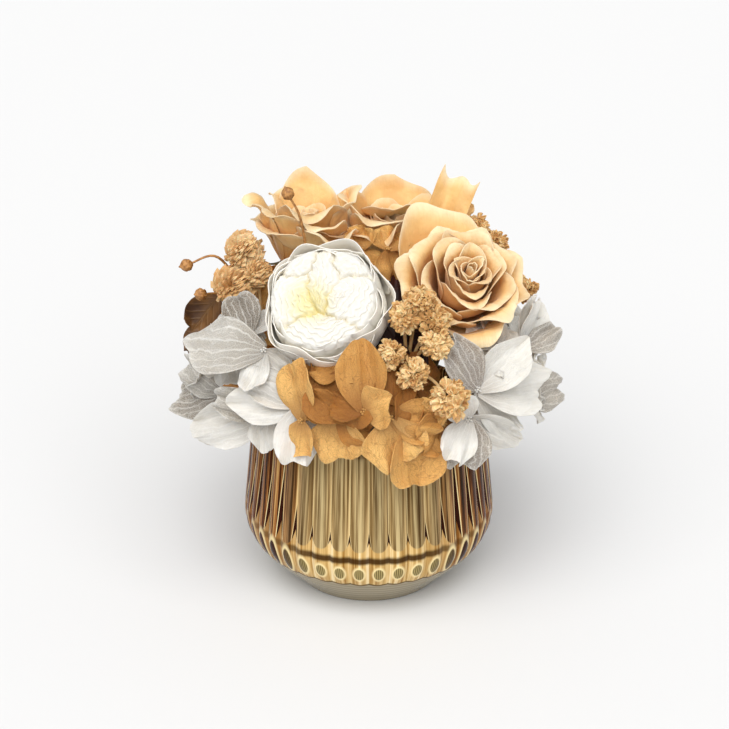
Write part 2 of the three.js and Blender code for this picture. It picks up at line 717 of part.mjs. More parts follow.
// The florets of a bunch stand over a dome round its hub. Each has its centre and then either its
// petals, each by its tip and its width, or the turn and the length of four even ones.
const BUNCHES = [
  {
    name: "hydrangea_caramel_front",
    colour: COLOURS.caramel,
    hub: [-3, -29],
    florets: [
      { centre: [7.5, -61, 96.6], petals: [[10, -65, 80, 26], [27, -58, 92.5, 17], [11, -50, 114, 17]] },
      { centre: [16.5, -56, 92], petals: [[13.6, -62, 69, 26], [27, -53, 99, 14], [1, -57, 77, 19]] },
      { centre: [-2, -60, 98.7], petals: [[-4, -50, 123, 19], [8, -64, 105, 17], [-13, -57, 104, 15]] },
      { centre: [-9, -49, 110], petals: [[-9, -63, 94, 31], [-21, -47, 112, 15], [3, -46, 113, 14]] },
      { centre: [-11.5, -57, 95], petals: [[-12.4, -61, 78.5, 22], [-22, -52, 101, 14], [1, -56, 88, 16]] },
      { centre: [-24.4, -54, 92], petals: [[-28, -49, 113, 17], [-25, -57, 79, 16], [-21, -44, 111, 10]] },
      { centre: [27, -52, 90], turn: 20, length: 13 },
    ],
  },
  {
    name: "hydrangea_white_left",
    colour: COLOURS.ivory,
    hub: [-32, -16],
    florets: [
      {
        centre: [-38.4, -38, 112.4],
        petals: [[-67, -29, 107.5, 25], [-45.5, -52, 103.5, 11], [-30, -40, 104, 12]],
      },
      { centre: [-44, -26, 114], petals: [[-49.5, -19, 127, 15], [-58, -16, 117, 13], [-33, -22, 121, 12]] },
      { centre: [-24.5, -49, 96], petals: [[-51, -43, 94.5, 17], [-45, -39, 103, 14], [-28, -55, 74, 18]] },
      { centre: [-37, -43, 89], petals: [[-65.5, -33, 77, 19], [-58, -41, 96, 13], [-38, -47, 76, 14]] },
      { centre: [-55, -26, 89.6], petals: [[-75, -14, 79, 17], [-70, -16, 97, 17], [-60, -29, 69, 13]] },
      { centre: [-62, -8, 92], turn: 20, length: 15 },
      { centre: [-50, -22, 104], turn: 60, length: 14 },
    ],
  },
  {
    name: "hydrangea_white_right",
    colour: COLOURS.white,
    hub: [32, -16],
    florets: [
      {
        centre: [39.5, -44, 99.5],
        petals: [[28.5, -42, 119, 16], [58, -30, 111, 17], [65, -25, 93, 24], [54, -38, 80, 16]],
      },
      {
        centre: [36.4, -50, 90.7],
        petals: [[34, -55, 72.5, 20], [29, -60, 78, 14], [31, -53, 101.5, 13], [56, -34, 73, 13]],
      },
      {
        centre: [57.5, -16, 103],
        petals: [[67, -8, 118.5, 15], [71, -6, 107, 14], [60, -3, 118, 15], [63, -19, 92, 15]],
      },
      { centre: [60, -17, 83], petals: [[73, -4, 81, 16], [66, -13, 72, 14], [66, -12, 97, 14]] },
      { centre: [48, -28, 110], turn: 35, length: 14 },
      { centre: [50, -32, 90], turn: 10, length: 14 },
      { centre: [62, -6, 86], turn: 10, length: 15 },
    ],
  },
  {
    name: "hydrangea_caramel_back",
    colour: COLOURS.caramel,
    hub: [-25, 26],
    florets: [
      { centre: [-50, 14, 106], turn: 20, length: 17 },
      { centre: [-41, 42, 106], turn: 40, length: 17 },
      { centre: [-18, 48, 111], turn: 15, length: 17 },
      { centre: [-58, 24, 84], turn: 30, length: 17 },
      { centre: [-37, 53, 83], turn: 10, length: 17 },
      { centre: [-9, 55, 86], turn: 35, length: 17 },
    ],
  },
  {
    name: "hydrangea_white_back",
    colour: COLOURS.white,
    hub: [25, 27],
    florets: [
      { centre: [47, 13, 107], turn: 25, length: 16 },
      { centre: [47, 38, 104], turn: 0, length: 17 },
      { centre: [22, 49, 111], turn: 30, length: 17 },
      { centre: [60, 18, 84], turn: 15, length: 17 },
      { centre: [44, 50, 80], turn: 40, length: 17 },
      { centre: [18, 59, 84], turn: 10, length: 17 },
    ],
  },
  {
    name: "hydrangea_caramel_centre",
    colour: COLOURS.caramel,
    hub: [2, 0],
    hubHeight: 112,
    florets: [
      { centre: [-3, -2, 137], petals: [[-9, 1, 142, 11], [-1, 3, 144.5, 12], [1, -8, 132, 12]] },
      { centre: [7, -4, 138], petals: [[12, 3, 142, 13], [13, -7, 133, 13], [4, 1, 145, 11]] },
    ],
  },
];

const SHOULDER = 0.82; // how far along a petal of a floret its shoulders are
const NOTCH = 0.3; // how far out the notches between the petals are

// The tips of four petals spread round a floret, bent back over the dome of the bunch.
function evenPetals({ turn, length }, frame, dome, seed) {
  return [0, 1, 2, 3].map((k) => {
    const n = seed * 31 + k;
    const angle = radians(turn + 90 * k + 24 * (scatter(n) - 0.5));
    const reach = length * (0.9 + 0.2 * scatter(n + 1));
    const drop = reach ** 2 / (2 * dome) + 3 * (scatter(n + 2) - 0.6);
    const tip = at(reach * Math.cos(angle), reach * Math.sin(angle), -drop).applyMatrix4(frame);
    return [...tip.toArray(), reach * 1.3];
  });
}

// Each petal seen from in front of its floret: the turn, length and height of its tip, half the angle
// that it spans, and the turn to the next petal. Petals are kept clear of their neighbours.
function fanOf(petals, frame) {
  const back = frame.clone().invert();
  const fan = petals.map(([x, y, z, width]) => {
    const tip = at(x, y, z).applyMatrix4(back);
    const reach = Math.hypot(tip.x, tip.y);
    const half = Math.atan2(width / 2, SHOULDER * reach);
    return { turn: Math.atan2(tip.y, tip.x), reach, height: tip.z, half };
  });
  fan.sort((a, b) => a.turn - b.turn);
  fan.forEach((petal, k) => {
    const next = fan[(k + 1) % fan.length];
    petal.toNext = (next.turn - petal.turn + 2 * Math.PI) % (2 * Math.PI);
  });
  return fan.map((petal, k) => {
    const before = fan.at(k - 1).toNext;
    return { ...petal, half: Math.min(petal.half, 0.49 * before, 0.49 * petal.toNext) };
  });
}

// A floret as one waved sheet, notched between its petals nearly to its centre.
function floret(spec, middle, seed, grow) {
  const centre = at(...spec.centre);
  const outwards = centre.clone().sub(middle);
  const dome = outwards.length();
  const azimuth = THREE.MathUtils.radToDeg(Math.atan2(outwards.x, -outwards.y));
  const elevation = THREE.MathUtils.radToDeg(Math.asin(outwards.z / dome));
  const frame = flowerFrame(centre, azimuth, elevation);
  const points = [at(0, 0, -0.8)];
  const mark = (turn, reach, height) => {
    points.push(at((reach + grow) * Math.cos(turn), (reach + grow) * Math.sin(turn), height));
  };
  const fan = fanOf(spec.petals ?? evenPetals(spec, frame, dome, seed), frame);
  fan.forEach(({ turn, reach, height, half, toNext }, k) => {
    const lift = 2 * (scatter(seed * 13 + k) - 0.3);
    mark(turn - half, SHOULDER * reach, height * SHOULDER ** 2 + lift);
    mark(turn, reach, height);
    mark(turn + half, SHOULDER * reach, height * SHOULDER ** 2 + 1.6 - lift);
    mark(turn + toNext / 2, NOTCH * reach, 0);
  });
  points.forEach((p) => p.applyMatrix4(frame));
  const rim = Array.from({ length: points.length - 1 }, (_, k) => k + 1);
  const faces = rim.map((k) => [0, k, (k % rim.length) + 1]);
  return sheet(points, faces, rim, PETAL + 2 * grow);
}

// The florets and their stalks, each grown by a margin; a stalk's end is the bead of its floret.
function bunch({ hub, hubHeight = HUB_HEIGHT, florets }, seed, grow) {
  const middle = at(...hub, hubHeight);
  const stalks = florets.map(({ centre }) => {
    const end = at(...centre);
    end.addScaledVector(end.clone().sub(middle).normalize(), 1.2);
    return bar(new THREE.LineCurve3(end, middle), STALK_RADIUS + grow, 3, 1);
  });
  const sheets = florets.map((spec, k) => floret(spec, middle, seed + k, grow));
  const knot = solid(new THREE.IcosahedronGeometry(KNOT_RADIUS + grow, 0).translate(...middle));
  return [knot, ...stalks, ...sheets];
}

for (const [n, spec] of BUNCHES.entries()) {
  const { hub, hubHeight = HUB_HEIGHT } = spec;
  const { body, space } = stem(at(...hub, hubHeight + 1), at(0, 0, -1), hub, STEM_RADIUS, 5, 4);
  const whole = fuse([body, ...bunch(spec, n * 7, 0)]);
  add(spec.name, cleared(whole), spec.colour);
  taken.push(fuse([space, ...bunch(spec, n * 7, GAP)]));
}

// ---------------------------------------------------------------- the foam

const FOAM = [
  [FLOOR_THICKNESS + GAP, 0],
  [FLOOR_THICKNESS + GAP, 22],
  [15, 35],
  [25, FOAM_RADIUS],
  [FOAM_TOP, FOAM_RADIUS],
  [FOAM_TOP, 0],
];

const foam = turned(FOAM, 24).subtract(wasm.Manifold.union(holes));
add("foam", foam, COLOURS.foam);

export default part;
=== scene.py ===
"""The look of a preserved-flower table centerpiece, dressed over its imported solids."""
import math

import bpy
import numpy as np
from mathutils import Matrix, Vector, noise


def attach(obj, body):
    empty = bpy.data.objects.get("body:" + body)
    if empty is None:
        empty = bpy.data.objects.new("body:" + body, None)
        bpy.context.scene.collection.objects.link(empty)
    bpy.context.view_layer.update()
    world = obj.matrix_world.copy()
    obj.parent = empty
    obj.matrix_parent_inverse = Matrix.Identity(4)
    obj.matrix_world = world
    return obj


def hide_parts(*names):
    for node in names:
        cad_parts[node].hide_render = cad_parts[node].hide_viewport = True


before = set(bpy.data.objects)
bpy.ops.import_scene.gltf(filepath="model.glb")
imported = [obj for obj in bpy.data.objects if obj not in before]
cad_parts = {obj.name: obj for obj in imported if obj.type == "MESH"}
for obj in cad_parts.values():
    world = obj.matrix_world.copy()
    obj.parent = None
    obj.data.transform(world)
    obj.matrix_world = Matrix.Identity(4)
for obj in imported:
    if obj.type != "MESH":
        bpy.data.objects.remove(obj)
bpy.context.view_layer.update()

# ----------------------------------------------------------
# The vase: a low bowl of pressed amber glass with a gold lustre. Forty rounded ribs run down its
# wall and end in rounded tongues above a smooth foot. It is pressed in one piece, smooth inside. Its
# colour is painted refraction and painted highlights.

MM = 0.001
RIBS = 40
RIB_DEPTH = 1.1
RIB_START = 16.5
RIB_END = (69.5, 71.5)
TONGUE_ARCH = 4.5
SIDES_PER_RIB = 12
WALL_MIDDLE = ([0, 14, 26, 72], [20, 39.6, 47.2, 43])
CLEAR_SHARE = 0.05
VASE_OUTSIDE = [(0, 29), (3, 31.6), (6, 34.6), (9.5, 38.2), (12.5, 41.2), (15.5, 44), (18.5, 46.2),
                (22, 48), (26, 49), (30, 49), (40, 48), (50, 47), (60, 46), (69.6, 45.1), (71.2, 44.8),
                (72, 43.6)]
VASE_INSIDE = [(71.6, 42.2), (69.5, 41.6), (60, 42.2), (50, 43.2), (40, 44.1), (30, 45), (26, 45.3),
               (20, 43), (14, 38), (10, 33), (7.4, 27), (6.5, 20)]


def smooth(x, low, high):
    """0 below low, 1 above high, and an even slope between."""
    t = np.clip((x - low) / (high - low), 0, 1)
    return t * t * (3 - 2 * t)


def turned(name, profile, sides):
    """A disc whose edge is extruded from ring to ring of a profile of (height, radius) in mm."""
    bpy.ops.object.select_all(action="DESELECT")
    z, r = profile[0]
    bpy.ops.mesh.primitive_circle_add(vertices=sides, radius=r * MM, fill_type="NGON",
        location=(0, 0, z * MM))
    piece = bpy.context.object
    piece.name = name
    bpy.ops.object.mode_set(mode="EDIT")
    for z_next, r_next in profile[1:]:
        rise = {"value": (0, 0, (z_next - z) * MM)}
        bpy.ops.mesh.extrude_region_move(TRANSFORM_OT_translate=rise)
        grow = r_next / r
        bpy.ops.transform.resize(value=(grow, grow, 1), center_override=(0, 0, z_next * MM))
        z, r = z_next, r_next
    bpy.ops.mesh.select_all(action="SELECT")
    bpy.ops.mesh.normals_make_consistent(inside=False)
    bpy.ops.object.mode_set(mode="OBJECT")
    settled()
    return piece


def points_of(piece):
    """A piece's points as rows of x, y, z in mm."""
    places = np.empty(len(piece.data.vertices) * 3)
    piece.data.vertices.foreach_get("co", places)
    return places.reshape(-1, 3) / MM


def put_points(piece, places):
    piece.data.vertices.foreach_set("co", (places * MM).ravel())
    piece.data.update()


def softened(line):
    """The same open line with its corners cut."""
    cut = [line[0]]
    for (a, b), (c, d) in zip(line, line[1:]):
        cut += [(a * 0.75 + c * 0.25, b * 0.75 + d * 0.25), (a * 0.25 + c * 0.75, b * 0.25 + d * 0.75)]
    return cut + [line[-1]]


def smoothed(degrees):
    """Shades the active piece smooth, but for edges sharper than an angle."""
    bpy.ops.object.shade_smooth_by_angle(angle=math.radians(degrees))


def settled():
    """Moves the active piece's place and turn into its mesh."""
    bpy.ops.object.transform_apply(location=True, rotation=True, scale=True)


def linear(code):
    """A colour given as six hexadecimal digits, as the shader takes it."""
    parts = [int(code[k:k + 2], 16) / 255 for k in (0, 2, 4)]
    return (*[p / 12.92 if p < 0.04045 else ((p + 0.055) / 1.055) ** 2.4 for p in parts], 1)


class Level:
    """A number that changes over a surface: arithmetic on it adds Math nodes to its finish."""

    def __init__(self, finish, socket):
        self.finish = finish
        self.socket = socket

    def math(self, operation, *others):
        values = dict(enumerate((self, *others)))
        return self.finish.node("ShaderNodeMath", {"operation": operation}, values)

    def __add__(self, other):
        return self.math("ADD", other)

    def __sub__(self, other):
        return self.math("SUBTRACT", other)

    def __rsub__(self, other):
        return (self * -1).math("ADD", other)

    def __mul__(self, other):
        return self.math("MULTIPLY", other)

    def __truediv__(self, other):
        return self.math("DIVIDE", other)

    def __pow__(self, other):
        return self.math("POWER", other)

    __radd__ = __add__
    __rmul__ = __mul__

    def sine(self):
        return self.math("SINE")

    def size(self):
        return self.math("ABSOLUTE")

    def step(self, low, high):
        """0 below low and 1 above high, with an even slope between."""
        ends = {"Value": self, "From Min": low, "From Max": high}
        return self.finish.node("ShaderNodeMapRange", {"interpolation_type": "SMOOTHSTEP"}, ends)


class Finish:
    """A material of a piece and the nodes that it is made of."""

    def __init__(self, name):
        self.material = bpy.data.materials.new(name)
        self.material.use_nodes = True
        self.tree = self.material.node_tree
        self.tree.nodes.clear()

    def node(self, kind, settings=None, inputs=None, output=0):
        """Adds a node, sets its settings and then its inputs, and gives one of its outputs.

        A ramp's stops and an input's colour are six hexadecimal digits.
        """
        added = self.tree.nodes.new(kind)
        for key, value in (settings or {}).items():
            if key == "stops":
                stops = added.color_ramp.elements
                while len(stops) < len(value):
                    stops.new(0.5)
                for stop, (place, colour) in zip(stops, value):
                    stop.position, stop.color = place, linear(colour)
            else:
                setattr(added, key, value)
        for key, value in (inputs or {}).items():
            if isinstance(value, Level):
                self.tree.links.new(value.socket, added.inputs[key])
            else:
                added.inputs[key].default_value = linear(value) if isinstance(value, str) else value
        return Level(self, added.outputs[output])

    def mix(self, share, a, b, way="MIX"):
        return self.node("ShaderNodeMix", {"data_type": "RGBA", "blend_type": way}, {0: share, 6: a, 7: b},
                         2)

    def ramp(self, value, stops):
        return self.node("ShaderNodeValToRGB", {"stops": stops}, {0: value})

    def place(self):
        return self.node("ShaderNodeTexCoord", output="Object")

    def parts(self, vector):
        """The x, y and z of a vector."""
        split = self.node("ShaderNodeSeparateXYZ", inputs={0: vector}).socket.node
        return [Level(self, split.outputs[k]) for k in range(3)]

    def own_map(self):
        """The u across and v along of a piece's own map."""
        return self.parts(self.node("ShaderNodeUVMap", {"uv_map": "UVMap"}))[:2]

    def shade(self):
        """The shade that each petal, bract or shoot was given.

        On the white rose's face and on petals deep in a hydrangea bunch it is painted shade.
        """
        return self.node("ShaderNodeAttribute", {"attribute_name": "shade"}, output="Fac")

    def vector(self, x, y, z=0.0):
        return self.node("ShaderNodeCombineXYZ", inputs={0: x, 1: y, 2: z})

    def noise(self, vector, scale=1.0, detail=2.0, rough=0.5):
        ends = {"Vector": vector, "Scale": scale, "Detail": detail, "Roughness": rough}
        return self.node("ShaderNodeTexNoise", inputs=ends)

    def bump(self, height, strength, distance):
        return self.node("ShaderNodeBump",
                         inputs={"Height": height, "Strength": strength, "Distance": distance})

    def surface(self, **inputs):
        """Joins a Principled shader to the output; an input's name has _ for a space."""
        named = {key.replace("_", " "): value for key, value in inputs.items()}
        self.show(self.node("ShaderNodeBsdfPrincipled", inputs=named))

    def show(self, shader):
        output = self.tree.nodes.new("ShaderNodeOutputMaterial")
        self.tree.links.new(shader.socket, output.inputs["Surface"])


def dress(piece, finish, slot, *nodes):
    """Gives a finished piece its material, its body and the solids that it stands for."""
    piece.data.materials.clear()
    piece.data.materials.append(finish.material)
    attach(piece, "root")
    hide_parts(*nodes)


vase = turned("ribbed_vase", softened(VASE_OUTSIDE) + softened(VASE_INSIDE), RIBS * SIDES_PER_RIB)
spots = points_of(vase)
radius = np.hypot(spots[:, 0], spots[:, 1])
height = spots[:, 2]
share = (np.arctan2(spots[:, 0], -spots[:, 1]) * RIBS / (2 * math.pi)) % 1
across = 2 * share - 1
arch = RIB_START + TONGUE_ARCH * across ** 2
fade = smooth(height, arch - 2, arch + 1) * (1 - smooth(height, *RIB_END))
fade *= radius > np.interp(height, *WALL_MIDDLE)
pressed = radius - RIB_DEPTH * across ** 2 * fade
spots[:, :2] *= (pressed / radius)[:, None]
put_points(vase, spots)
smoothed(50)

# All the glass's colour below is painted: khaki for the foam seen through it, brown and dark marks for
# refraction in the ribs and at the flanks, and painted highlights in the gold lines, the gold band and the
# pale crowns of the ribs.
glass = Finish("amber_glass_with_painted_refraction")
x, y, z = glass.parts(glass.place())
h = z * 1000
turns = x.math("ARCTAN2", y * -1) * (RIBS / (2 * math.pi))
seam = (turns.math("FRACT") * 2 - 1).size()
seam_number = turns.math("ROUND")
rib_number = turns.math("FLOOR")

# Painted refraction, fixed to the bowl: its front and back are khaki, painted as the foam seen
# through the glass, and its two flanks are painted brown, as the glass seen edge-on.
around = glass.node("ShaderNodeVectorMath", {"operation": "NORMALIZE"}, {0: glass.vector(x, y)})
sideways = 1 - glass.parts(around)[1].size() ** 1.1 * 0.9
flank = sideways.step(0.16, 0.42)
far_flank = sideways.step(0.45, 0.85)

# The wall: khaki ribs with faint streaks, a bright gold line at each seam with dark spikes in it. The
# streaks, the dark spikes and the darker low flanks are painted refraction; the gold lines and the
# pale crowns of the ribs are painted highlights.
streaks = glass.noise(glass.vector(turns * 6, h * 0.012, rib_number), 1.0, 4.0, 0.65)
rib_tone = glass.noise(glass.vector(rib_number * 3.7, 0.0))
wall = glass.ramp(streaks * 0.7 + rib_tone * 0.45, [
    (0.40, "2c1d0a"), (0.49, "665130"), (0.58, "a28c5e"), (0.67, "f2dca4")])
brown_wall = glass.ramp(streaks, [
    (0.36, "160400"), (0.46, "50200a"), (0.54, "a8682c"), (0.62, "ffd68c")])
wall = glass.mix(flank * 0.95, wall, brown_wall)
# Painted dark refraction, low on the far flanks.
wall = glass.mix(far_flank * (1 - h.step(24, 66)) * 0.4, wall, "5e1a0e")
wall = glass.mix(1.0, wall, "dccfc2", "MULTIPLY")
# A painted highlight along the crown of each rib.
bow = 1 - seam ** 2
wall = glass.mix(bow.step(0.55, 1.0) * streaks.step(0.35, 0.6) * (0.5 - flank * 0.45), wall, "c9b98c")
waver = glass.noise(glass.vector(turns * 1.3, 0.0)) * 1.6
band_top = 32.6 + seam ** 3 * (3.5 + flank * 5) + waver * 0.6 - flank * 3
# The dark flame in each seam is painted dark refraction, reaching further up on the flanks.
dark_refraction_reach = 3.0 + (flank * 42 + 3) * glass.noise(glass.vector(seam_number * 5.3, 0.0)).step(0.3, 0.7)
dark_refraction_width = (1 - (h - band_top) / dark_refraction_reach) * (0.22 + flank * 0.26)
line_wobble = glass.noise(glass.vector(seam_number * 1.9, h * 0.03))
line_width = dark_refraction_width.math("MAXIMUM", -0.02) + line_wobble * 0.16
# The gold line at each seam is a painted highlight.
highlight_line = (seam + line_width).step(0.96, 1.03)
highlight_share = (flank * 0.7 + rib_tone.step(0.35, 0.6) * 0.5).math("MINIMUM", 1.0)
wall = glass.mix(highlight_line * highlight_share, wall, "ffe8ae")
dark_refraction = (seam + dark_refraction_width).step(0.99, 1.03)
wall = glass.mix(dark_refraction, wall, "2c0803")

# The shoulder: a scalloped gold band, a dark wavy band and a row of ovals over the smooth foot. The
# gold band is a painted highlight; the dark band, the pale-rimmed striped ovals and the dark low
# flanks are painted refraction.
highlight_band = 1 - (h - band_top).step(-0.4, 0.4)
highlight_band_tone = glass.ramp(streaks * 0.6 + waver * 0.3, [
    (0.34, "4e3310"), (0.45, "9a6f30"), (0.56, "dcb878"), (0.70, "ffeec2")])
highlight_band_tone = glass.mix(flank * 0.5, highlight_band_tone, "74360f")
tone = glass.mix(highlight_band, wall, highlight_band_tone)
dark_band = (h + waver).step(28.0, 29.4) * (1 - (h + waver).step(30.6, 32.2))
tone = glass.mix(dark_band * (0.95 - flank * 0.4), tone, "3a2004")
oval = ((seam / 0.62) ** 2 + ((h - 23) / (3.4 + flank * 4)).size() ** 2) ** 0.5
tone = glass.mix((1 - oval.step(0.9, 1.3)) * 0.8, tone, "fbe6ae")
refraction_stripes = (turns * 62 + waver).sine() * 0.5 + 0.5
oval_tone = glass.mix(refraction_stripes * 0.8, "5f5128", "c4b078")
oval_tone = glass.mix(flank, oval_tone, "2f0b07")
tone = glass.mix(1 - oval.step(0.72, 0.9), tone, oval_tone)
# Painted dark refraction, low on the far flanks.
tone = glass.mix(far_flank * (1 - h.step(26, 40)) * 0.55, tone, "6e2a16")
foot_edge = 16.6 + seam ** 2 * 1.2
rings = (h * 2.6 + streaks).sine() * 0.5 + 0.5
foot_tone = glass.mix(rings * 0.5, "a09478", "776c52")
tone = glass.mix(1 - (h - foot_edge).step(0.0, 0.5), tone, "5e4718")
tone = glass.mix(1 - (h - foot_edge).step(-0.9, -0.4), tone, foot_tone)
clear = glass.node("ShaderNodeBsdfPrincipled", inputs={
    "Base Color": "e8c887", "Roughness": 0.03, "IOR": 1.5, "Transmission Weight": 1.0})
# A shader without transmission that carries the painted refraction and painted highlights.
painted_refraction_bsdf = glass.node("ShaderNodeBsdfPrincipled", inputs={
    "Base Color": tone, "Roughness": 0.08, "IOR": 1.3, "Specular IOR Level": 0.3,
    "Specular Tint": "e0b070"})
glass.show(glass.node("ShaderNodeMixShader", inputs={0: 1 - CLEAR_SHARE, 1: clear, 2: painted_refraction_bsdf}))
dress(vase, glass, "glass", "vase")

# ----------------------------------------------------------
# The foam: a plug of dry floral foam, cut to the bowl and pressed down to just under the rim. It
# is a fine brittle open-cell foam, crumbled along its cut edge.

FOAM_PROFILE = [(6.85, 20), (10, 28), (15, 34.6), (20, 38.4), (25, 40.2), (35, 40.5), (45, 40.6),
                (55, 40.6), (66.5, 40.6), (68.6, 39.6), (69, 36), (69, 27), (69, 18), (69, 9), (69, 2)]

foam = turned("foam_plug", softened(FOAM_PROFILE), 96)
spots = points_of(foam)
crumbs = np.array([noise.fractal(Vector(p) * 0.5, 1, 2, 3) for p in spots])
spots[:, :2] *= (1 - 0.008 * np.abs(crumbs))[:, None]
spots[:, 2] -= 0.5 * np.abs(crumbs) * (spots[:, 2] > 60)
put_points(foam, spots)
smoothed(40)
dry = Finish("dry_floral_foam")
cells = dry.node("ShaderNodeTexVoronoi", {"feature": "F1"}, {"Vector": dry.place(), "Scale": 900.0})
patch = dry.noise(dry.place(), 60.0, 4.0)
dry_colour = dry.mix(patch, "6f6549", "a39777")
# The pits of the foam's cells are painted darker: painted shade in its open pores.
dry_colour = dry.mix(cells.step(0.0, 0.5), "4a4028", dry_colour)
dry.surface(Base_Color=dry_colour, Roughness=0.95, Normal=dry.bump(cells, 0.6, 0.0006))
dress(foam, dry, "foam", "foam")

# ----------------------------------------------------------
# The white garden rose: a preserved quartered head. Cupped outer petals hold a flat face full of
# thin folded petals with ruffled rims, cream yellow towards its heart. All grow from one base.


def scatter(n):
    """A repeatable number from 0 to 1 for each whole number."""
    wave = math.sin(n * 127.1 + 311.7) * 43758.5453
    return wave - math.floor(wave)


def flower_frame(origin, azimuth, elevation, scale=1.0):
    """The frame of a flower at origin (mm) that faces azimuth (0 front, 90 right) and elevation."""
    a, e = math.radians(azimuth), math.radians(elevation)
    out = Vector((math.sin(a) * math.cos(e), -math.cos(a) * math.cos(e), math.sin(e)))
    side = Vector((math.cos(a), math.sin(a), 0))
    up = out.cross(side)
    return Matrix.Translation(origin) @ Matrix((side, up, out)).transposed().to_4x4() @ Matrix.Scale(scale,
        4)


def moved(places, matrix):
    """Rows of points taken through a matrix."""
    whole = np.array(matrix)
    return places @ whole[:3, :3].T + whole[:3, 3]


def aimed(root, tip, face):
    """The frame of a petal at root (mm) that grows to tip and turns its inner side to face."""
    along = (Vector(tip) - Vector(root)).normalized()
    outwards = (along * along.dot(Vector(face)) - Vector(face)).normalized()
    return Matrix.Translation(root) @ Matrix((outwards, along.cross(outwards), along)).transposed().to_4x4()


def petal_surface(angle=0.0, root=0.0, length=20.0, width=10.0, lean=0.0, hug=20.0, rise=0.0, cup=0.0,
                  curl=0.0, roll=0.0, flare=0.0, ramp=0.0, wave=0.0, waves=2.0, phase=0.0, crimp=0.0,
                  rounded=0.35, neck=0.35, point=0.0, fold=0.0, taper=0.0, full=0.6, crumple=0.3, pleat=0.0,
                  shift=(0, 0), place=None):
    """A petal's surface in its flower's frame, in mm, for u across (-1 to 1) and v along (0 to 1).

    It leaves the axis at a radius root and height rise. lean is its angle from the axis at mid
    length, cup turns the root outwards, curl the tip, and roll the last fifth. It bends round a
    radius hug; flare turns its sides back, ramp tucks one side under its neighbour, fold creases
    its midrib, and wave, crimp and crumple ruffle it.
    """
    turn = math.radians(angle)

    def slope(t):
        return np.radians(lean + cup * (1 - t) ** 2 + curl * t ** 4 + roll * smooth(t, 0.78, 1.05))

    def surface(u, v):
        edge = np.abs(u)
        t = v * (1 - max(point, 0) - rounded * edge ** 2.6 + point * (1 - edge) ** 2)
        t *= 1 + 0.04 * crumple * np.sin(4.4 * u + 2 * phase) * v
        r = np.full_like(t, root)
        z = np.full_like(t, rise)
        for k in range(24):
            a = slope((k + 0.5) * t / 24)
            r += np.sin(a) * length * t / 24
            z += np.cos(a) * length * t / 24
        half = width * (neck + (1 - neck) * np.sin(math.pi / 2 * np.minimum(1, t / full)))
        half *= 1 - taper * smooth(t, 0.55, 1.15)
        bend = u * half / hug
        a = slope(t)
        inwards = hug * (1 - np.cos(bend)) - flare * edge ** 3 * t - ramp * u * t + fold * edge * t
        inwards += wave * np.sin(waves * math.pi * u + phase) * t * t
        inwards += crimp * np.sin(7 * math.pi * u + 3 * phase) * np.sin(5 * u + phase) * smooth(t, 0.55, 1)
        inwards += pleat * np.sin(17 * u + 2 * np.sin(3 * t + phase)) * smooth(t, 0.2, 0.9)
        uneven = np.sin(2.3 * u + 3.7 * t + phase) * np.sin(5.1 * t - 1.9 * u + 2 * phase)
        inwards += crumple * t * (uneven + 0.5 * np.sin(5.3 * u - 4.7 * t + 3 * phase))
        reach = r - np.cos(a) * inwards
        side = hug * np.sin(bend)
        x = reach * math.cos(turn) - side * math.sin(turn) + shift[0]
        y = reach * math.sin(turn) + side * math.cos(turn) + shift[1]
        spots = np.stack([x, y, z + np.sin(a) * inwards], axis=1)
        return spots if place is None else moved(spots, place)

    return surface


def shaded(piece, shade):
    """Gives a piece's points one shade, or each its own."""
    tint = piece.data.attributes.new("shade", "FLOAT", "POINT")
    tint.data.foreach_set("value", np.full(len(piece.data.vertices), shade, dtype=float))
    return piece


def laid(surface, columns, rows, shade=0.5):
    """A grid laid on a surface, closer set towards the tip, with its own shade."""
    bpy.ops.mesh.primitive_grid_add(x_subdivisions=columns, y_subdivisions=rows, size=2)
    sheet = bpy.context.object
    flat = points_of(sheet) * MM
    along = (flat[:, 1] + 1) / 2
    put_points(sheet, surface(flat[:, 0], 1 - (1 - along) ** 1.35))
    return shaded(sheet, shade)


def joined(name, pieces):
    """One piece from several, under a name."""
    bpy.ops.object.select_all(action="DESELECT")
    for piece in pieces:
        piece.select_set(True)
    bpy.context.view_layer.objects.active = pieces[0]
    if len(pieces) > 1:
        bpy.ops.object.join()
    bpy.context.object.name = name
    return bpy.context.object


def thickened(piece, thickness, matrix=None):
    """Gives open sheets their thickness (mm) and takes them to their place in the object."""
    if matrix is not None:
        put_points(piece, moved(points_of(piece), matrix))
    solidify = piece.modifiers.new("thickness", "SOLIDIFY")
    solidify.thickness = thickness * MM
    solidify.offset = 0
    bpy.context.view_layer.objects.active = piece
    bpy.ops.object.modifier_apply(modifier=solidify.name)
    smoothed(60)
    return piece


# A whorl: how many petals, their sizes in this order (mm and degrees), then what else shapes them.
WHORL_SIZES = ("root", "length", "width", "lean", "cup", "curl", "roll", "hug")


def whorls(rows, seed):
    """The shapes of a rose's petals, whorl by whorl from the outside in."""
    for layer, (count, *sizes, more) in enumerate(rows):
        for k in range(count):
            n = seed + layer * 17 + k * 5
            shape = {"ramp": 1, "rise": 1.5, **dict(zip(WHORL_SIZES, sizes)), **more}
            shape["angle"] = 360 * k / count + shape.pop("turn", layer * 47) + (scatter(n) - 0.5) * 14
            shape["length"] *= 0.95 + 0.1 * scatter(n + 1)
            yield {**shape, "phase": 6 * scatter(n + 2)}


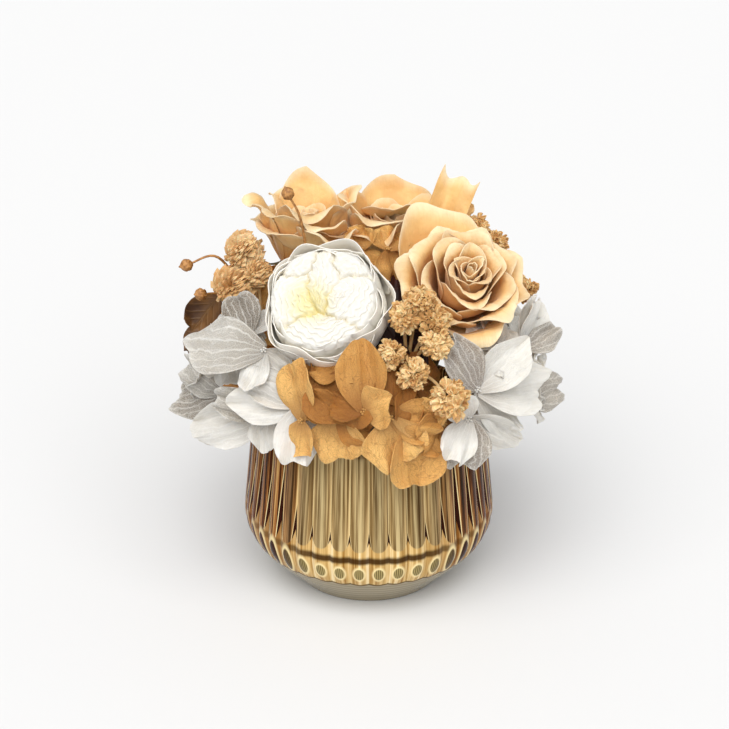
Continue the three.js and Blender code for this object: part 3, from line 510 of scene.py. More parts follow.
def petal_finish(name, root, body, lip, streaks, mottle=0.25, heart=None, glow=0.3, crease=0.5):
    """A soft matt petal: deeper at its root, partly its own colour and partly painted shade down in the
    flower, pale at its lip, with fine streaks and a mottle.
    """
    finish = Finish(name)
    u, v = finish.own_map()
    shade = finish.shade()
    where = finish.place()
    cloud = finish.noise(where, 90.0, 4.0)
    wrinkle = finish.noise(where, 330.0, 3.0, 0.6)
    fibre = finish.noise(finish.vector(u * 60, v * 4 + shade * 37), 1.0, 3.0, 0.6)
    colour = finish.mix(v.step(0.0, 0.55), root, body)
    colour = finish.mix(v.step(0.7, 1.0), colour, lip)
    colour = finish.mix(cloud.step(0.35, 0.75) * mottle, colour, root)
    colour = finish.mix(fibre.step(0.45, 0.8) * streaks, colour, root)
    # Each petal's shade draws it towards the root colour: a tone that differs at random on the roses, and
    # painted shade in the creases and heart of the white rose's face.
    colour = finish.mix(shade * 0.14, colour, root)
    if heart:
        spot, reach, tint = heart
        away = finish.node("ShaderNodeVectorMath", {"operation": "DISTANCE"}, {0: where, 1: spot}, "Value")
        colour = finish.mix((1 - away.step(reach * 0.2, reach)) * 0.85, colour, tint)
    relief = fibre * 0.15 + cloud * 1.2 + wrinkle * 0.8
    finish.surface(Base_Color=colour, Roughness=0.62, Subsurface_Weight=glow, Subsurface_Scale=0.003,
                   Subsurface_Radius=(1.0, 0.88, 0.75), Sheen_Weight=0.15,
                   Normal=finish.bump(relief, crease, 0.0006))
    return finish


WHITE_FRAME = flower_frame((-12.6, -20.4, 116.5), -15, 45, 1.04)
WHITE_WHORLS = [
    (5, 8, 28, 21, 6, 118, -35, 50, 21, dict(wave=1.6, rounded=0.3)),
    (5, 8, 28.5, 20, 2, 110, -35, 34, 20, dict(wave=1.4, rounded=0.24, turn=36)),
    (5, 8, 29, 19, -8, 118, -20, 20, 18.8, dict(wave=0.9, turn=70)),
    (5, 6, 29.5, 18, 6, 90, -50, 22, 17.4, dict(wave=1.0, turn=20)),
]
# The face's lobes: centre and reach (mm), then the point that their petals bow round. The last lobe
# hangs over the heart, with its petals in pleats that spread from its tip.
LOBES = [(-10.5, -2.0, 8.5, 10.0, -4.0, -3.0), (11.5, 0.0, 9.5, 10.0, 5.0, 1.0),
         (9.0, 14.0, 7.0, 6.5, 6.0, 8.0), (2.0, -13.5, 14.0, 7.5, 0.0, -3.0),
         (-10.5, 12.5, 7.5, 6.0, -3.0, 2.0), (-2.0, 6.5, 5.6, 10.8, 0.5, -6.0)]
HEART = (0.0, -4.5)
FACE_RADIUS = 19
FACE_TOP = 23.6
FACE_CELLS = 150
PETAL_THICKNESS = 0.3


def face_relief(x, y):
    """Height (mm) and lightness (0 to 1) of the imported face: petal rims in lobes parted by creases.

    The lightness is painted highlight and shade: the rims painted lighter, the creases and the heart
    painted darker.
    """
    wx = x + 0.8 * np.sin(0.45 * y + 1.3) + 0.4 * np.sin(1.5 * y + 0.6 * x)
    wy = y + 0.8 * np.sin(0.40 * x + 0.4) + 0.4 * np.sin(1.3 * x - 0.7 * y)
    far = np.stack([np.hypot((wx - cx) / a, (wy - cy) / b) for cx, cy, a, b, _, _ in LOBES])
    near, second = np.sort(far, axis=0)[:2]
    lobe = np.argmin(far, axis=0)
    crease = 1 - smooth(second - near, 0, 0.26)
    middle = np.array([row[4:] for row in LOBES])[lobe]
    dx, dy = wx - middle[:, 0], wy - middle[:, 1]
    turn = np.arctan2(dx, dy)
    arcs = np.hypot(dx, dy) / 2.2 + 0.3 * np.sin(3 * turn + lobe)
    arcs += 0.1 * np.sin(9 * turn + 2 * lobe) + lobe * 0.37
    rims = np.where(lobe == len(LOBES) - 1, 5.5 * turn + 0.06 * wy, arcs) % 1
    rim = rims ** 1.4 * (1 - smooth(rims, 0.86, 1.0))
    heart = np.exp(-((x - HEART[0]) ** 2 + (y - HEART[1]) ** 2) / 22)
    fine = 0.1 * np.sin(2.1 * wx + 3 * np.sin(0.8 * wy)) + 0.1 * np.sin(2.4 * wy + 3 * np.sin(0.7 * wx))
    height = 1.1 * (1 - near ** 2) - (1.2 + 1.3 * heart) * crease - 1.2 * heart + 0.95 * rim + fine
    return height, np.clip(0.5 + 0.55 * rim - 0.5 * crease ** 1.5 - 0.2 * heart, 0, 1)


def packed_face():
    """The flat face of the head: a dome of inner petals pressed so close that only their rims show."""
    bpy.ops.mesh.primitive_grid_add(x_subdivisions=FACE_CELLS, y_subdivisions=FACE_CELLS, size=2)
    face = bpy.context.object
    u, v = (points_of(face) * MM)[:, :2].T
    x = FACE_RADIUS * u * np.sqrt(1 - v * v / 2)
    y = FACE_RADIUS * v * np.sqrt(1 - u * u / 2)
    out = np.hypot(x, y) / FACE_RADIUS
    height, light = face_relief(x, y)
    dome = FACE_TOP - 1.8 * out ** 2 - 8 * smooth(out, 0.92, 1.15)
    put_points(face, np.stack([x, y, dome + height], axis=1))
    # The map's v and the points' shade carry the painted highlight and shade: rims take the lip colour,
    # creases and the heart the root colour.
    corners = np.empty(len(face.data.loops), dtype=np.int32)
    face.data.loops.foreach_get("vertex_index", corners)
    layer = np.stack([x / 12, light], axis=1)[corners]
    face.data.uv_layers.active.data.foreach_set("uv", layer.ravel())
    return shaded(face, (1 - light) * 0.5)


white_petals = []
for n, shape in enumerate(whorls(WHITE_WHORLS, 3)):
    surface = petal_surface(**{"rounded": 0.14, "crumple": 0.35, **shape})
    white_petals.append(laid(surface, 24, 16, 0.6 * scatter(n)))
white_rose = thickened(joined("white_rose_head", [packed_face(), *white_petals]), PETAL_THICKNESS,
                       WHITE_FRAME)
white_heart = (WHITE_FRAME @ Vector((-4.5, -2.5, 21))) * MM
# Its root colour also paints the shade in the face's creases and heart.
white = petal_finish("white_petal", "e6dcc0", "f1ebde", "f9f4ea", 0.08, 0.06, glow=0.4, crease=0.15,
                     heart=(white_heart, 0.013, "f3e49e"))
dress(white_rose, white, "white_petals", "white_rose")

# ----------------------------------------------------------
# The three beige roses: preserved open heads dyed peach beige. Broad outer petals roll back at
# their lips round a tightly wound heart; the two at the back are blown wide open.

OPEN_WHORLS = [
    (4, 5, 29, 18, 14, 62, 40, 90, 18, dict(ramp=1.6, flare=2, shift=(-2.4, -2.8), wave=0.7)),
    (4, 4.6, 29, 17, 7, 58, 34, 90, 15.5, dict(ramp=1.5, flare=2, shift=(-2, -2.2), turn=45, wave=0.6)),
    (3, 4, 29, 16, 3, 54, 28, 84, 12.8, dict(ramp=1.3, flare=2, shift=(-1.4, -1.5), turn=80, wave=0.5)),
    (3, 3.2, 29, 14, 0, 45, 22, 76, 10.2, dict(flare=1.6, shift=(-0.8, -0.8), turn=135, wave=0.4)),
    (3, 2.6, 28.6, 11.5, -1, 37, 18, 66, 8, dict(flare=1, turn=20)),
    (3, 2, 28.2, 9.5, -1.5, 28, 14, 50, 6, dict(turn=75, wave=0.3)),
    (3, 1.4, 28, 8, -1.5, 20, 10, 36, 4.3, dict(turn=125, wave=0.3)),
    (2, 1, 28, 7, -1, 14, 6, 20, 2.9, dict(neck=0.8, turn=10)),
    (2, 0.6, 28, 5, -1, 8, 2, 0, 1.7, dict(neck=0.9, turn=60)),
]
# The back roses are blown open: a ring of wide petals and a few folded ones over a sunken heart.
BLOWN_WHORLS = [
    (5, 6, 25, 17, 20, 60, 40, 60, 19, dict(ramp=1.4, flare=2, turn=18)),
    (3, 4, 22, 15, 0, 56, 20, 50, 11, dict(flare=1, turn=10)),
    (3, 2.6, 20, 11, -3, 40, 10, 30, 7, dict(turn=65)),
    (3, 1.2, 19, 8, -2, 20, 8, 0, 3.6, dict(turn=30)),
]
# A broad petal: root, tip and facing (mm, in the object's frame), its sizes in this order, and more.
BROAD_SIZES = ("width", "hug", "curl", "roll", "neck")
LEFT_PETALS = [
    ((-23, 25, 129), (-24, 37, 154), (0, -1, 0.5), 16, 15, -10, 0, 0.7, dict(point=0.16, rounded=0.5)),
    ((-21, 15, 128), (-21.5, 4, 152), (0, 1, 0.2), 16, 15, 30, 90, 0.6, dict(flare=2.5)),
    ((-18, 13, 127), (-17.5, -1, 149), (0, 1, 0.2), 11, 12, 30, 90, 0.6, dict(flare=1.5)),
    ((-17, 11, 125), (-15, -6, 145), (0, 1, 0.2), 14, 16, 20, 70, 0.6, dict(wave=1.6)),
    ((-30, 9, 127), (-35, 3, 152), (0.5, 0.8, 0), 11, 13, 26, 60, 0.5, dict(flare=3, wave=1.2)),
    ((-34, 14, 127), (-42, 12, 152), (1, 0.2, 0), 9, 10, 26, 90, 0.5, dict(wave=1.0)),
    ((-14, 19, 128), (-7, 19, 152), (-1, 0, 0.3), 12, 13, 20, 60, 0.6, {}),
    ((-27, 24, 129), (-34, 30, 148), (1, -0.8, 0.2), 13, 13, 20, 50, 0.6, {}),
]
RIGHT_PETALS = [
    ((10, 29, 129), (10, 41, 149), (0, -1, 0.7), 17, 17, -6, 0, 0.6, dict(point=0.1, rounded=0.3)),
    ((8, 31, 136), (9, 12, 147), (0, -0.3, 1), 12, 26, -20, 0, 0.7, dict(rounded=0.5)),
    ((7, 15, 127), (6.5, 5, 148.5), (0, 1, 0.3), 17, 16, 30, 95, 0.6, dict(flare=2.5)),
    ((6, 13, 124), (2, -1, 143), (0, 1, 0.2), 14, 16, 20, 70, 0.6, dict(wave=1.4)),
    ((25, 14, 130), (33.8, 19, 155.5), (-0.3, -1, 0.3), 8, 12, 16, 30, 0.8,
     dict(rounded=-0.06, wave=0.9, waves=1.5)),
    ((36, 20, 145), (38.6, 20.4, 142), (0, -1, 0.2), 4, 9, 0, 0, 0.9, dict(rounded=0.6)),
    ((-2, 20, 128), (-8, 20, 151), (1, 0, 0.3), 12, 13, 20, 60, 0.6, {}),
    ((19, 22, 128), (24, 26, 146), (-1, -0.4, 0.3), 12, 13, 20, 60, 0.6, {}),
]
# The right rose's outermost petal stands up behind it, its left side rolled back.
SIDE_PETALS = [
    ((26.6, -5.5, 119), (24.4, 3, 150.5), (0.15, -0.85, 0.5), 20, 17, 14, 30, 0.75, dict(flare=4)),
]
BEIGE_ROSES = [
    ("beige_rose_right", (34.1, -5.2, 118), 12, 50, 0.97, 11, OPEN_WHORLS, SIDE_PETALS),
    ("beige_rose_back_left", (-23, 19, 125), -8, 96, 0.92, 29, BLOWN_WHORLS, LEFT_PETALS),
    ("beige_rose_back_right", (12, 22, 123), 8, 96, 0.92, 47, BLOWN_WHORLS, RIGHT_PETALS),
]

# The deep orange root colour is partly the petals' own colour and partly painted shade down in the heads.
beige = petal_finish("beige_petal", "c07a28", "fbca84", "ffe8ba", 0.14, 0.5, glow=0.35, crease=0.8)
for name, base, azimuth, elevation, scale, seed, rows, broad in BEIGE_ROSES:
    place = flower_frame(base, azimuth, elevation, scale)
    sheets = []
    for n, shape in enumerate(whorls(rows, seed)):
        surface = petal_surface(place=place, **{"crumple": 0.8, "crimp": 0.35, **shape})
        sheets.append(laid(surface, 22, 18, scatter(seed + 3 * n)))
    for n, (root, tip, face, *sizes, more) in enumerate(broad):
        reach = (Vector(tip) - Vector(root)).length * 1.06
        sizes = dict(zip(BROAD_SIZES, sizes))
        shape = dict(length=reach, phase=n, crumple=1.3, pleat=0.12, **sizes, **more)
        surface = petal_surface(place=aimed(root, tip, face), **shape)
        sheets.append(laid(surface, 18, 20, scatter(seed + 80 + n)))
    dress(thickened(joined(name + "_head", sheets), 0.32), beige, "beige_petals", name)

# ----------------------------------------------------------
# Under each rose: a green calyx cup with five sepals folded back, on a wired stem wound in brown
# tape that bends down into the foam.

FOAM_TOP = 69
STEM_DEPTH = 18


def curved(points, steps=8):
    """Points along a smooth curve through the given ones."""
    ends = [2 * points[0] - points[1], *points, 2 * points[-1] - points[-2]]
    line = []
    for a, b, c, d in zip(ends, ends[1:], ends[2:], ends[3:]):
        for k in range(steps):
            t = k / steps
            line.append(0.5 * (2 * b + (c - a) * t + (2 * a - 5 * b + 4 * c - d) * t * t
                               + (3 * b - a - 3 * c + d) * t ** 3))
    return [*line, points[-1]]


def placed(name, data):
    """A new object of the scene."""
    piece = bpy.data.objects.new(name, data)
    bpy.context.scene.collection.objects.link(piece)
    return piece


def shoot(points, radius, tip=None):
    """A round shoot along points in mm, from one radius to another: a bevelled curve, made a mesh."""
    tip = radius if tip is None else tip
    line = curved([Vector(p) for p in points])
    path = bpy.data.curves.new("shoot", "CURVE")
    path.dimensions = "3D"
    path.bevel_depth = MM
    path.bevel_resolution = 2
    path.use_fill_caps = True
    spline = path.splines.new("POLY")
    spline.points.add(len(line) - 1)
    for k, (spot, p) in enumerate(zip(spline.points, line)):
        spot.co = (*(p * MM), 1)
        spot.radius = radius + (tip - radius) * k / (len(line) - 1)
    piece = placed("shoot", path)
    bpy.ops.object.select_all(action="DESELECT")
    piece.select_set(True)
    bpy.context.view_layer.objects.active = piece
    bpy.ops.object.convert(target="MESH")
    bpy.ops.object.shade_smooth()
    return shaded(bpy.context.object, 0.5)


def rooted(start, away, hole, radius=1.3, reach=10):
    """A stem from start along away, bending down into its hole in the foam."""
    start, away = Vector(start), Vector(away)
    down = [(*hole, FOAM_TOP + 8), (*hole, FOAM_TOP), (*hole, FOAM_TOP - STEM_DEPTH)]
    return shoot([start, start + away * reach, *down], radius)


CUP_PROFILE = [(-8, 1.4), (-7, 1.9), (-5.4, 3.2), (-4, 4.0), (-2, 4.5), (-0.4, 4.6)]
BEIGE_HOLES = [(21, -5), (-15, 12), (11, 15)]
ROSE_STEMS = [("white_rose", WHITE_FRAME, (-8, -8), 3)]
for (name, base, azimuth, elevation, _, seed, *_), hole in zip(BEIGE_ROSES, BEIGE_HOLES):
    ROSE_STEMS.append((name, flower_frame(base, azimuth, elevation), hole, seed))

tape = Finish("taped_stem")
where = tape.place()
wrap = tape.noise(where, 500.0, 3.0)
tape_colour = tape.mix(wrap.step(0.35, 0.7), "3a2f16", "6b5a30")
tape.surface(Base_Color=tape_colour, Roughness=0.8, Normal=tape.bump(wrap, 0.5, 0.0003))


def sepal(turn):
    """A narrow pointed sepal folded back from the cup's rim."""
    form = petal_surface(turn, 3.6, 13, 2.6, 112, 3.2, rise=-1.6, cup=-20, curl=-14, rounded=0.2, neck=0.6)
    return lambda u, v: form(u * (1 - 0.9 * v ** 2), v)


for name, place, hole, seed in ROSE_STEMS:
    unit = Matrix.LocRotScale(place.translation, place.to_quaternion(), None)
    cup = turned("cup", CUP_PROFILE, 20)
    put_points(shaded(cup, 0), moved(points_of(cup), unit))
    sepals = [laid(sepal(72 * k + seed), 6, 10) for k in range(5)]
    leaves = thickened(joined("sepals", sepals), 0.5, unit)
    away = -(unit.to_3x3() @ Vector((0, 0, 1)))
    stalk = rooted(Vector(place.translation) + away * 5, away, hole)
    whole = joined(name + "_calyx_and_stem", [cup, leaves, stalk])
    smoothed(60)
    dress(whole, tape, "stems", name + "_stem")

# ----------------------------------------------------------
# The dried pompon sprays: crumbly heads of tiny papery bracts, bundled in tight little buds on
# thin branching stalks.

POMPONS = [
    ("pompons_left", (-34, 1), (-41, 0, 108), [
        (-47, 2, 135, 6.6), (-51, -4, 123, 7.4), (-42, -3, 128, 5)]),
    ("pompons_middle", (11, -25), (14, -34, 104), [
        (12, -42, 128, 5), (18, -38, 133, 5.2), (24, -42, 126, 5), (24.5, -46, 119, 5.2),
        (8, -50, 117, 4.8), (16, -54, 111, 5.4), (29.5, -56, 102, 6.4)]),
    ("pompons_right", (33, 4), (44, 14, 108), [
        (41, 20, 137, 4.4), (48, 18, 132, 4.6), (59, 4, 118, 4.4)]),
    ("pompons_back", (-2, 27), (-3, 40, 104), [
        (-8, 50, 127, 6), (3, 53, 121, 6.6), (-4, 56, 112, 5.4)]),
]


def bract_mesh():
    """One tiny pointed bract, 1 long: a sheet drawn in to a tip, hollowed a little and thickened."""
    bpy.ops.mesh.primitive_grid_add(x_subdivisions=2, y_subdivisions=3, size=2)
    bract = bpy.context.object
    flat = points_of(bract) * MM
    v = (flat[:, 1] + 1) / 2
    half = 0.3 * np.sin(math.pi * (0.12 + 0.8 * v)) ** 0.8
    places = np.stack([flat[:, 0] * half, 0.18 * v ** 2 - 0.12 * np.abs(flat[:, 0]), v], axis=1)
    bract.data.vertices.foreach_set("co", places.ravel())
    solidify = bract.modifiers.new("thickness", "SOLIDIFY")
    solidify.thickness = 0.12
    bpy.ops.object.modifier_apply(modifier=solidify.name)
    places = points_of(bract) * MM
    faces = [list(face.vertices) for face in bract.data.polygons]
    bpy.data.objects.remove(bract)
    return places, faces


bract_points, bract_faces = bract_mesh()

# How many bracts, and how far round they lean (radians).
FLUFFY_HEAD = (330, 2.7)
SMALL_BUD = (15, 1.6)
GOLDEN_TURN = 2.39996


def ball_points(count):
    """Evenly spread directions."""
    for k in range(count):
        z = 1 - (2 * k + 1) / count
        turn = k * GOLDEN_TURN
        r = math.sqrt(1 - z * z)
        yield Vector((r * math.cos(turn), r * math.sin(turn), z))


def crumbly_heads(name, heads, seed, fluffy):
    """The bracts of a spray's heads in one mesh: small buds on each head, or one fluffy ball."""
    places, faces, shades = [], [], []
    for h, (x, y, z, radius) in enumerate(heads):
        for b, out in enumerate(ball_points(1 if fluffy else int(10 + radius * 2))):
            n = seed * 977 + h * 131 + b * 17
            centre = Vector((x, y, z)) + (Vector() if fluffy else out * radius * (0.42 + 0.4 * scatter(n)))
            tilt = Vector((scatter(n + 1) - 0.5, scatter(n + 2) - 0.5, scatter(n + 3) - 0.5)) * 1.7
            facing = (out + tilt).to_track_quat("Z", "Y").to_matrix().to_4x4()
            count, spread = FLUFFY_HEAD if fluffy else SMALL_BUD
            size = radius * (1.0 if fluffy else 0.42 + 0.22 * scatter(n + 5))
            for k in range(count):
                m = n * 31 + k * 7
                lean = spread * math.sqrt((k + 0.5) / count) + 0.7 * (scatter(m + 2) - 0.5)
                grow = size * (0.8 + 0.4 * scatter(m + 1))
                broad = grow * (0.4 if fluffy else 0.8 + 0.5 * scatter(m + 4))
                turn = facing @ Matrix.Rotation(k * 2.4 + scatter(m), 4, "Z")
                turn = turn @ Matrix.Rotation(lean, 4, "X")
                turn = turn @ Matrix.Diagonal((broad, grow * (0.9 + scatter(m + 5)), grow, 1))
                base = len(places) * len(bract_points)
                places.append(bract_points @ np.array(turn)[:3, :3].T + np.array(centre))
                faces += [[base + i for i in face] for face in bract_faces]
                shades += [scatter(n + 4) * 0.5 + 0.5 * scatter(m + 3)] * len(bract_points)
    mesh = bpy.data.meshes.new(name)
    mesh.from_pydata(np.concatenate(places) * MM, [], faces)
    mesh.uv_layers.new(name="UVMap")
    return shaded(placed(name, mesh), np.array(shades))


def dried_finish(name, dark, mid, pale):
    finish = Finish(name)
    shade = finish.shade()
    speck = finish.noise(finish.place(), 700.0, 3.0)
    colour = finish.ramp(shade * 0.7 + speck * 0.4, [(0.1, dark), (0.45, mid), (0.85, pale)])
    finish.surface(Base_Color=colour, Roughness=0.85, Subsurface_Weight=0.15, Subsurface_Scale=0.001,
                   Normal=finish.bump(speck, 0.5, 0.0002))
    return finish


tan_heads = dried_finish("tan_bracts", "9a6a30", "cfa26a", "ecd0a0")
cream_heads = dried_finish("cream_bracts", "8f5f2c", "cfa265", "f3d9a6")
for n, (name, hole, fork, heads) in enumerate(POMPONS):
    fork = Vector(fork)
    stalks = [rooted(fork, (0, 0, -1), hole)]
    for head in heads:
        top = Vector(head[:3])
        stalks.append(shoot([fork - Vector((0, 0, 1.5)), fork.lerp(top, 0.5) + Vector((0, 0, 2)), top],
                            0.75, 0.55))
    whole = joined(name + "_spray", [crumbly_heads(name, heads, n + 1, n in (0, 3)), *stalks])
    smoothed(45)
    dress(whole, tan_heads if n in (0, 3) else cream_heads, "dried_heads", name)

# ----------------------------------------------------------
# The flax pods: round ribbed seed heads with a pointed tip, each on its own wiry stalk.

FLAX = [
    ("flax_left", (-35, 9), (-46, 10, 112),
     [((-69, 0, 130), (-57, 4, 131.5)), ((-64, 0, 118), (-57, 5, 116))]),
    ("flax_top", (-21, -3), (-22, -3, 122), [((-30, -8, 162.5), (-25, -7, 150))]),
]
POD_PROFILE = [(-2.6, 0.45), (-2.3, 0.9), (-1.7, 1.6), (-0.8, 2.15), (0.2, 2.35), (1.0, 2.0), (1.7, 1.35),
               (2.2, 0.6),
               (2.9, 0.12)]

husk = Finish("flax_husk")
where = husk.place()
grain = husk.noise(where, 900.0, 3.0)
husk_colour = husk.mix(grain.step(0.3, 0.7), "8a5a2a", "c08a4e")
husk.surface(Base_Color=husk_colour, Roughness=0.55, Normal=husk.bump(grain, 0.4, 0.0002))


def pod(tip, along):
    """A pod with ten ribs and a ring of small dry bracts at its base."""
    body = turned("pod", POD_PROFILE, 40)
    spots = points_of(body)
    swell = 1 + 0.06 * np.cos(10 * np.arctan2(spots[:, 1], spots[:, 0]))
    spots[:, :2] *= swell[:, None]
    place = Matrix.Translation(tip) @ along.to_track_quat("Z", "Y").to_matrix().to_4x4()
    put_points(body, moved(spots, place))
    bracts = []
    for k in range(5):
        form = petal_surface(72 * k, 0.6, 2.6, 0.9, 40, 1.2, rise=-2.6, cup=30, rounded=0.6, point=0.3)
        bracts.append(laid(form, 4, 4))
    collar = thickened(joined("collar", bracts), 0.2, place)
    return joined("pod", [body, collar])


for name, hole, fork, pods in FLAX:
    fork = Vector(fork)
    pieces = [rooted(fork, (0, 0, -1), hole, 0.9)]
    for tip, arc in pods:
        tip, arc = Vector(tip), Vector(arc)
        pieces.append(shoot([fork - Vector((0, 0, 1)), arc, tip], 0.62, 0.4))
        pieces.append(pod(tip, (tip - arc).normalized()))
    whole = joined(name + "_stalks_and_pods", pieces)
    smoothed(50)
    dress(whole, husk, "pods", name)

# ----------------------------------------------------------
# The brown leaves: dried leaves on thin stalks, folded along the midrib and crisp at the rim.

LEAVES = [
    ("leaves_left", (-36, -7), (-48, 0, 104), "brown", [
        ((-57, 6, 115), (-68, 2, 101), (-0.4, -1, 0.5), 15),
        ((-62, 6, 103), (-70, 1, 93), (-0.3, -1, 0.3), 10)]),
    # Near-black dried leaves; some are set in the dark gaps under the white rose and among the pompons, as
    # painted shadow.
    ("leaves_middle", (5, -20), (4, -27, 98), "maroon", [
        ((10, -32, 107), (22, -41, 104), (0.2, -1, 0.5), 17),
        ((8, -32, 108), (7, -40, 119), (0, -1, 0.2), 16),
        ((4, -32, 104), (13, -43, 99), (0.2, -1, 0.5), 15),
        ((10, -27, 105), (10, -5, 127), (-0.3, -1, 0.3), 16),
        ((11, -26, 104), (21, -19, 117), (-0.2, -1, 0.3), 13),
        ((5, -16, 98), (4, -9, 115), (0, -1, 0.3), 15),
        ((0, -31, 104), (-22, -43, 106), (0, -1, 0.6), 13)]),
]


def crisp_finish(name, dark, light, vein):
    """A dried leaf: papery, mottled, with a pale midrib and side veins."""
    crisp = Finish(name)
    u, v = crisp.own_map()
    side = (u - 0.5).size()
    midrib = 1 - side.step(0.0, 0.03)
    veins = ((side * 26 - v * 34).sine() * 0.5 + 0.5) ** 8
    cloud = crisp.noise(crisp.place(), 120.0, 4.0)
    colour = crisp.mix(cloud.step(0.3, 0.75), dark, light)
    colour = crisp.mix((veins * 0.2 + midrib * 0.4).math("MINIMUM", 1.0), colour, vein)
    crisp.surface(Base_Color=colour, Roughness=0.6, Normal=crisp.bump(veins + midrib, 0.5, 0.0004))
    return crisp


CRISP = {
    "brown": crisp_finish("brown_dried_leaf", "3f230c", "7d5424", "8f6a38"),
    "maroon": crisp_finish("maroon_leaf_and_painted_shadow", "1c0806", "48190f", "5c2a1a"),
}
for name, hole, fork, kind, blades in LEAVES:
    fork = Vector(fork)
    pieces = [rooted(fork, (0, 0, -1), hole, 0.9)]
    for n, (root, tip, face, width) in enumerate(blades):
        root = Vector(root)
        reach = (Vector(tip) - root).length
        surface = petal_surface(place=aimed(root, tip, face), length=reach, width=width / 2, hug=9,
                                neck=0.08, full=0.45, taper=0.85, rounded=0.2, wave=1.1, waves=1.5,
                                crumple=1.2, fold=2.5, phase=2.3 * n)
        pieces.append(shoot([fork - Vector((0, 0, 1)), fork.lerp(root, 0.5) + Vector((0, 0, 2)), root],
                            0.75))
        pieces.append(thickened(laid(surface, 16, 20), 0.4))
    whole = joined(name + "_twig", pieces)
    smoothed(50)
    dress(whole, CRISP[kind], "brown_leaves", name)

# ----------------------------------------------------------
# The hydrangea bunches: florets of four broad petals with a bead of stamens at the middle, each on
# a thin stalk from a knot at the top of the bunch's stem. White ones are bleached to a lacy net.

# A floret: its centre, then either each petal's tip, width and shade (0 pale to 1 deep), or the
# turn, length and shade of four even ones. All in mm and degrees. A shade is partly the petal's own
# tone and partly painted shade on petals that lie deep in the bunch.
BUNCHES = [
    ("hydrangea_caramel_front", "caramel", (-3, -29, 82), [
        ((7.5, -61, 96.6), [(10, -65, 80, 26, 0), (27, -58, 92.5, 17, 0.5), (11, -50, 114, 17, 0.9)]),
        ((16.5, -56, 92), [(13.6, -62, 69, 26, 0.35), (27, -53, 99, 14, 0.1), (1, -57, 77, 19, 0.8)]),
        ((-2, -60, 98.7), [(-4, -50, 123, 19, 0.55), (8, -64, 105, 17, 0.1), (-13, -57, 104, 15, 0.9)]),
        ((-9, -49, 110), [(-9, -63, 94, 31, 0.85), (-21, -47, 112, 15, 0.6), (3, -46, 113, 14, 0.8)]),
        ((-11.5, -57, 95), [(-12.4, -61, 78.5, 22, 0.05), (-22, -52, 101, 14, 0.8), (1, -56, 88, 16, 0.7)]),
        ((-24.4, -54, 92), [(-28, -49, 113, 17, 0.05), (-25, -57, 79, 16, 0), (-21, -44, 111, 10, 0.8)]),
        ((17, -49, 103), 60, 15, 0.8), ((27, -52, 90), 20, 13, 0.5)]),
    ("hydrangea_white_left", "lace", (-32, -16, 82), [
        ((-38.4, -38, 112.4), [(-67, -29, 107.5, 25, 0.65), (-45.5, -52, 103.5, 11, 0.1),
            (-30, -40, 104, 12, 0.3),
                               ]),
        ((-44, -26, 114), [(-49.5, -19, 127, 15, 1), (-58, -16, 117, 13, 0.5), (-33, -22, 121, 12, 0.2)]),
        ((-24.5, -49, 96), [(-51, -43, 94.5, 17, 0), (-45, -39, 103, 14, 0.3), (-28, -55, 74, 18, 0)]),
        ((-37, -43, 89), [(-65.5, -33, 77, 19, 0.25), (-58, -41, 96, 13, 0.7), (-38, -47, 76, 14, 0.2)]),
        ((-55, -26, 89.6), [(-75, -14, 79, 17, 0.9), (-70, -16, 97, 17, 0.65), (-60, -29, 69, 13, 0.4)]),
        ((-62, -8, 92), 20, 15, 0.6), ((-50, -22, 104), 60, 14, 0.4)]),
    ("hydrangea_white_right", "white", (32, -16, 82), [
        ((39.5, -44, 99.5), [(28.5, -42, 119, 16, 1), (58, -30, 111, 17, 0.2), (65, -25, 93, 24, 0.1),
                             (54, -38, 80, 16, 0.4)]),
        ((36.4, -50, 90.7), [(34, -55, 72.5, 20, 1), (29, -60, 78, 14, 0), (31, -53, 101.5, 13, 0),
                             (56, -34, 73, 13, 0.3)]),
        ((57.5, -16, 103), [(67, -8, 118.5, 15, 0.2), (71, -6, 107, 14, 0.9), (60, -3, 118, 15, 0.4),
                            (63, -19, 92, 15, 0.2)]),
        ((60, -17, 83), [(73, -4, 81, 16, 0.9), (66, -13, 72, 14, 0.3), (66, -12, 97, 14, 0.4)]),
        ((48, -28, 110), 35, 14, 0.3), ((50, -32, 90), 10, 14, 0.2), ((62, -6, 86), 10, 15, 0.4)]),
    ("hydrangea_caramel_back", "caramel", (-25, 26, 82), [
        ((-50, 14, 106), 20, 17, 0.3), ((-41, 42, 106), 40, 17, 0.6), ((-18, 48, 111), 15, 17, 0.2),
        ((-58, 24, 84), 30, 17, 0.5), ((-37, 53, 83), 10, 17, 0.1), ((-9, 55, 86), 35, 17, 0.7)]),
    ("hydrangea_white_back", "white", (25, 27, 82), [
        ((47, 13, 107), 25, 16, 0.3), ((47, 38, 104), 0, 17, 0.1), ((22, 49, 111), 30, 17, 0.7),
        ((60, 18, 84), 15, 17, 0.5), ((44, 50, 80), 40, 17, 0.2), ((18, 59, 84), 10, 17, 0.4)]),
    ("hydrangea_caramel_centre", "caramel", (2, 0, 112), [
        ((-3, -2, 137), [(-9, 1, 142, 13, 0.2), (-1, 3, 144.5, 13, 0), (1, -8, 132, 13, 0.3)]),
        ((7, -4, 138), [(12, 3, 142, 14, 0.1), (9.5, -9, 128, 17, 0.4), (4, 1, 145, 12, 0.2)])]),
]


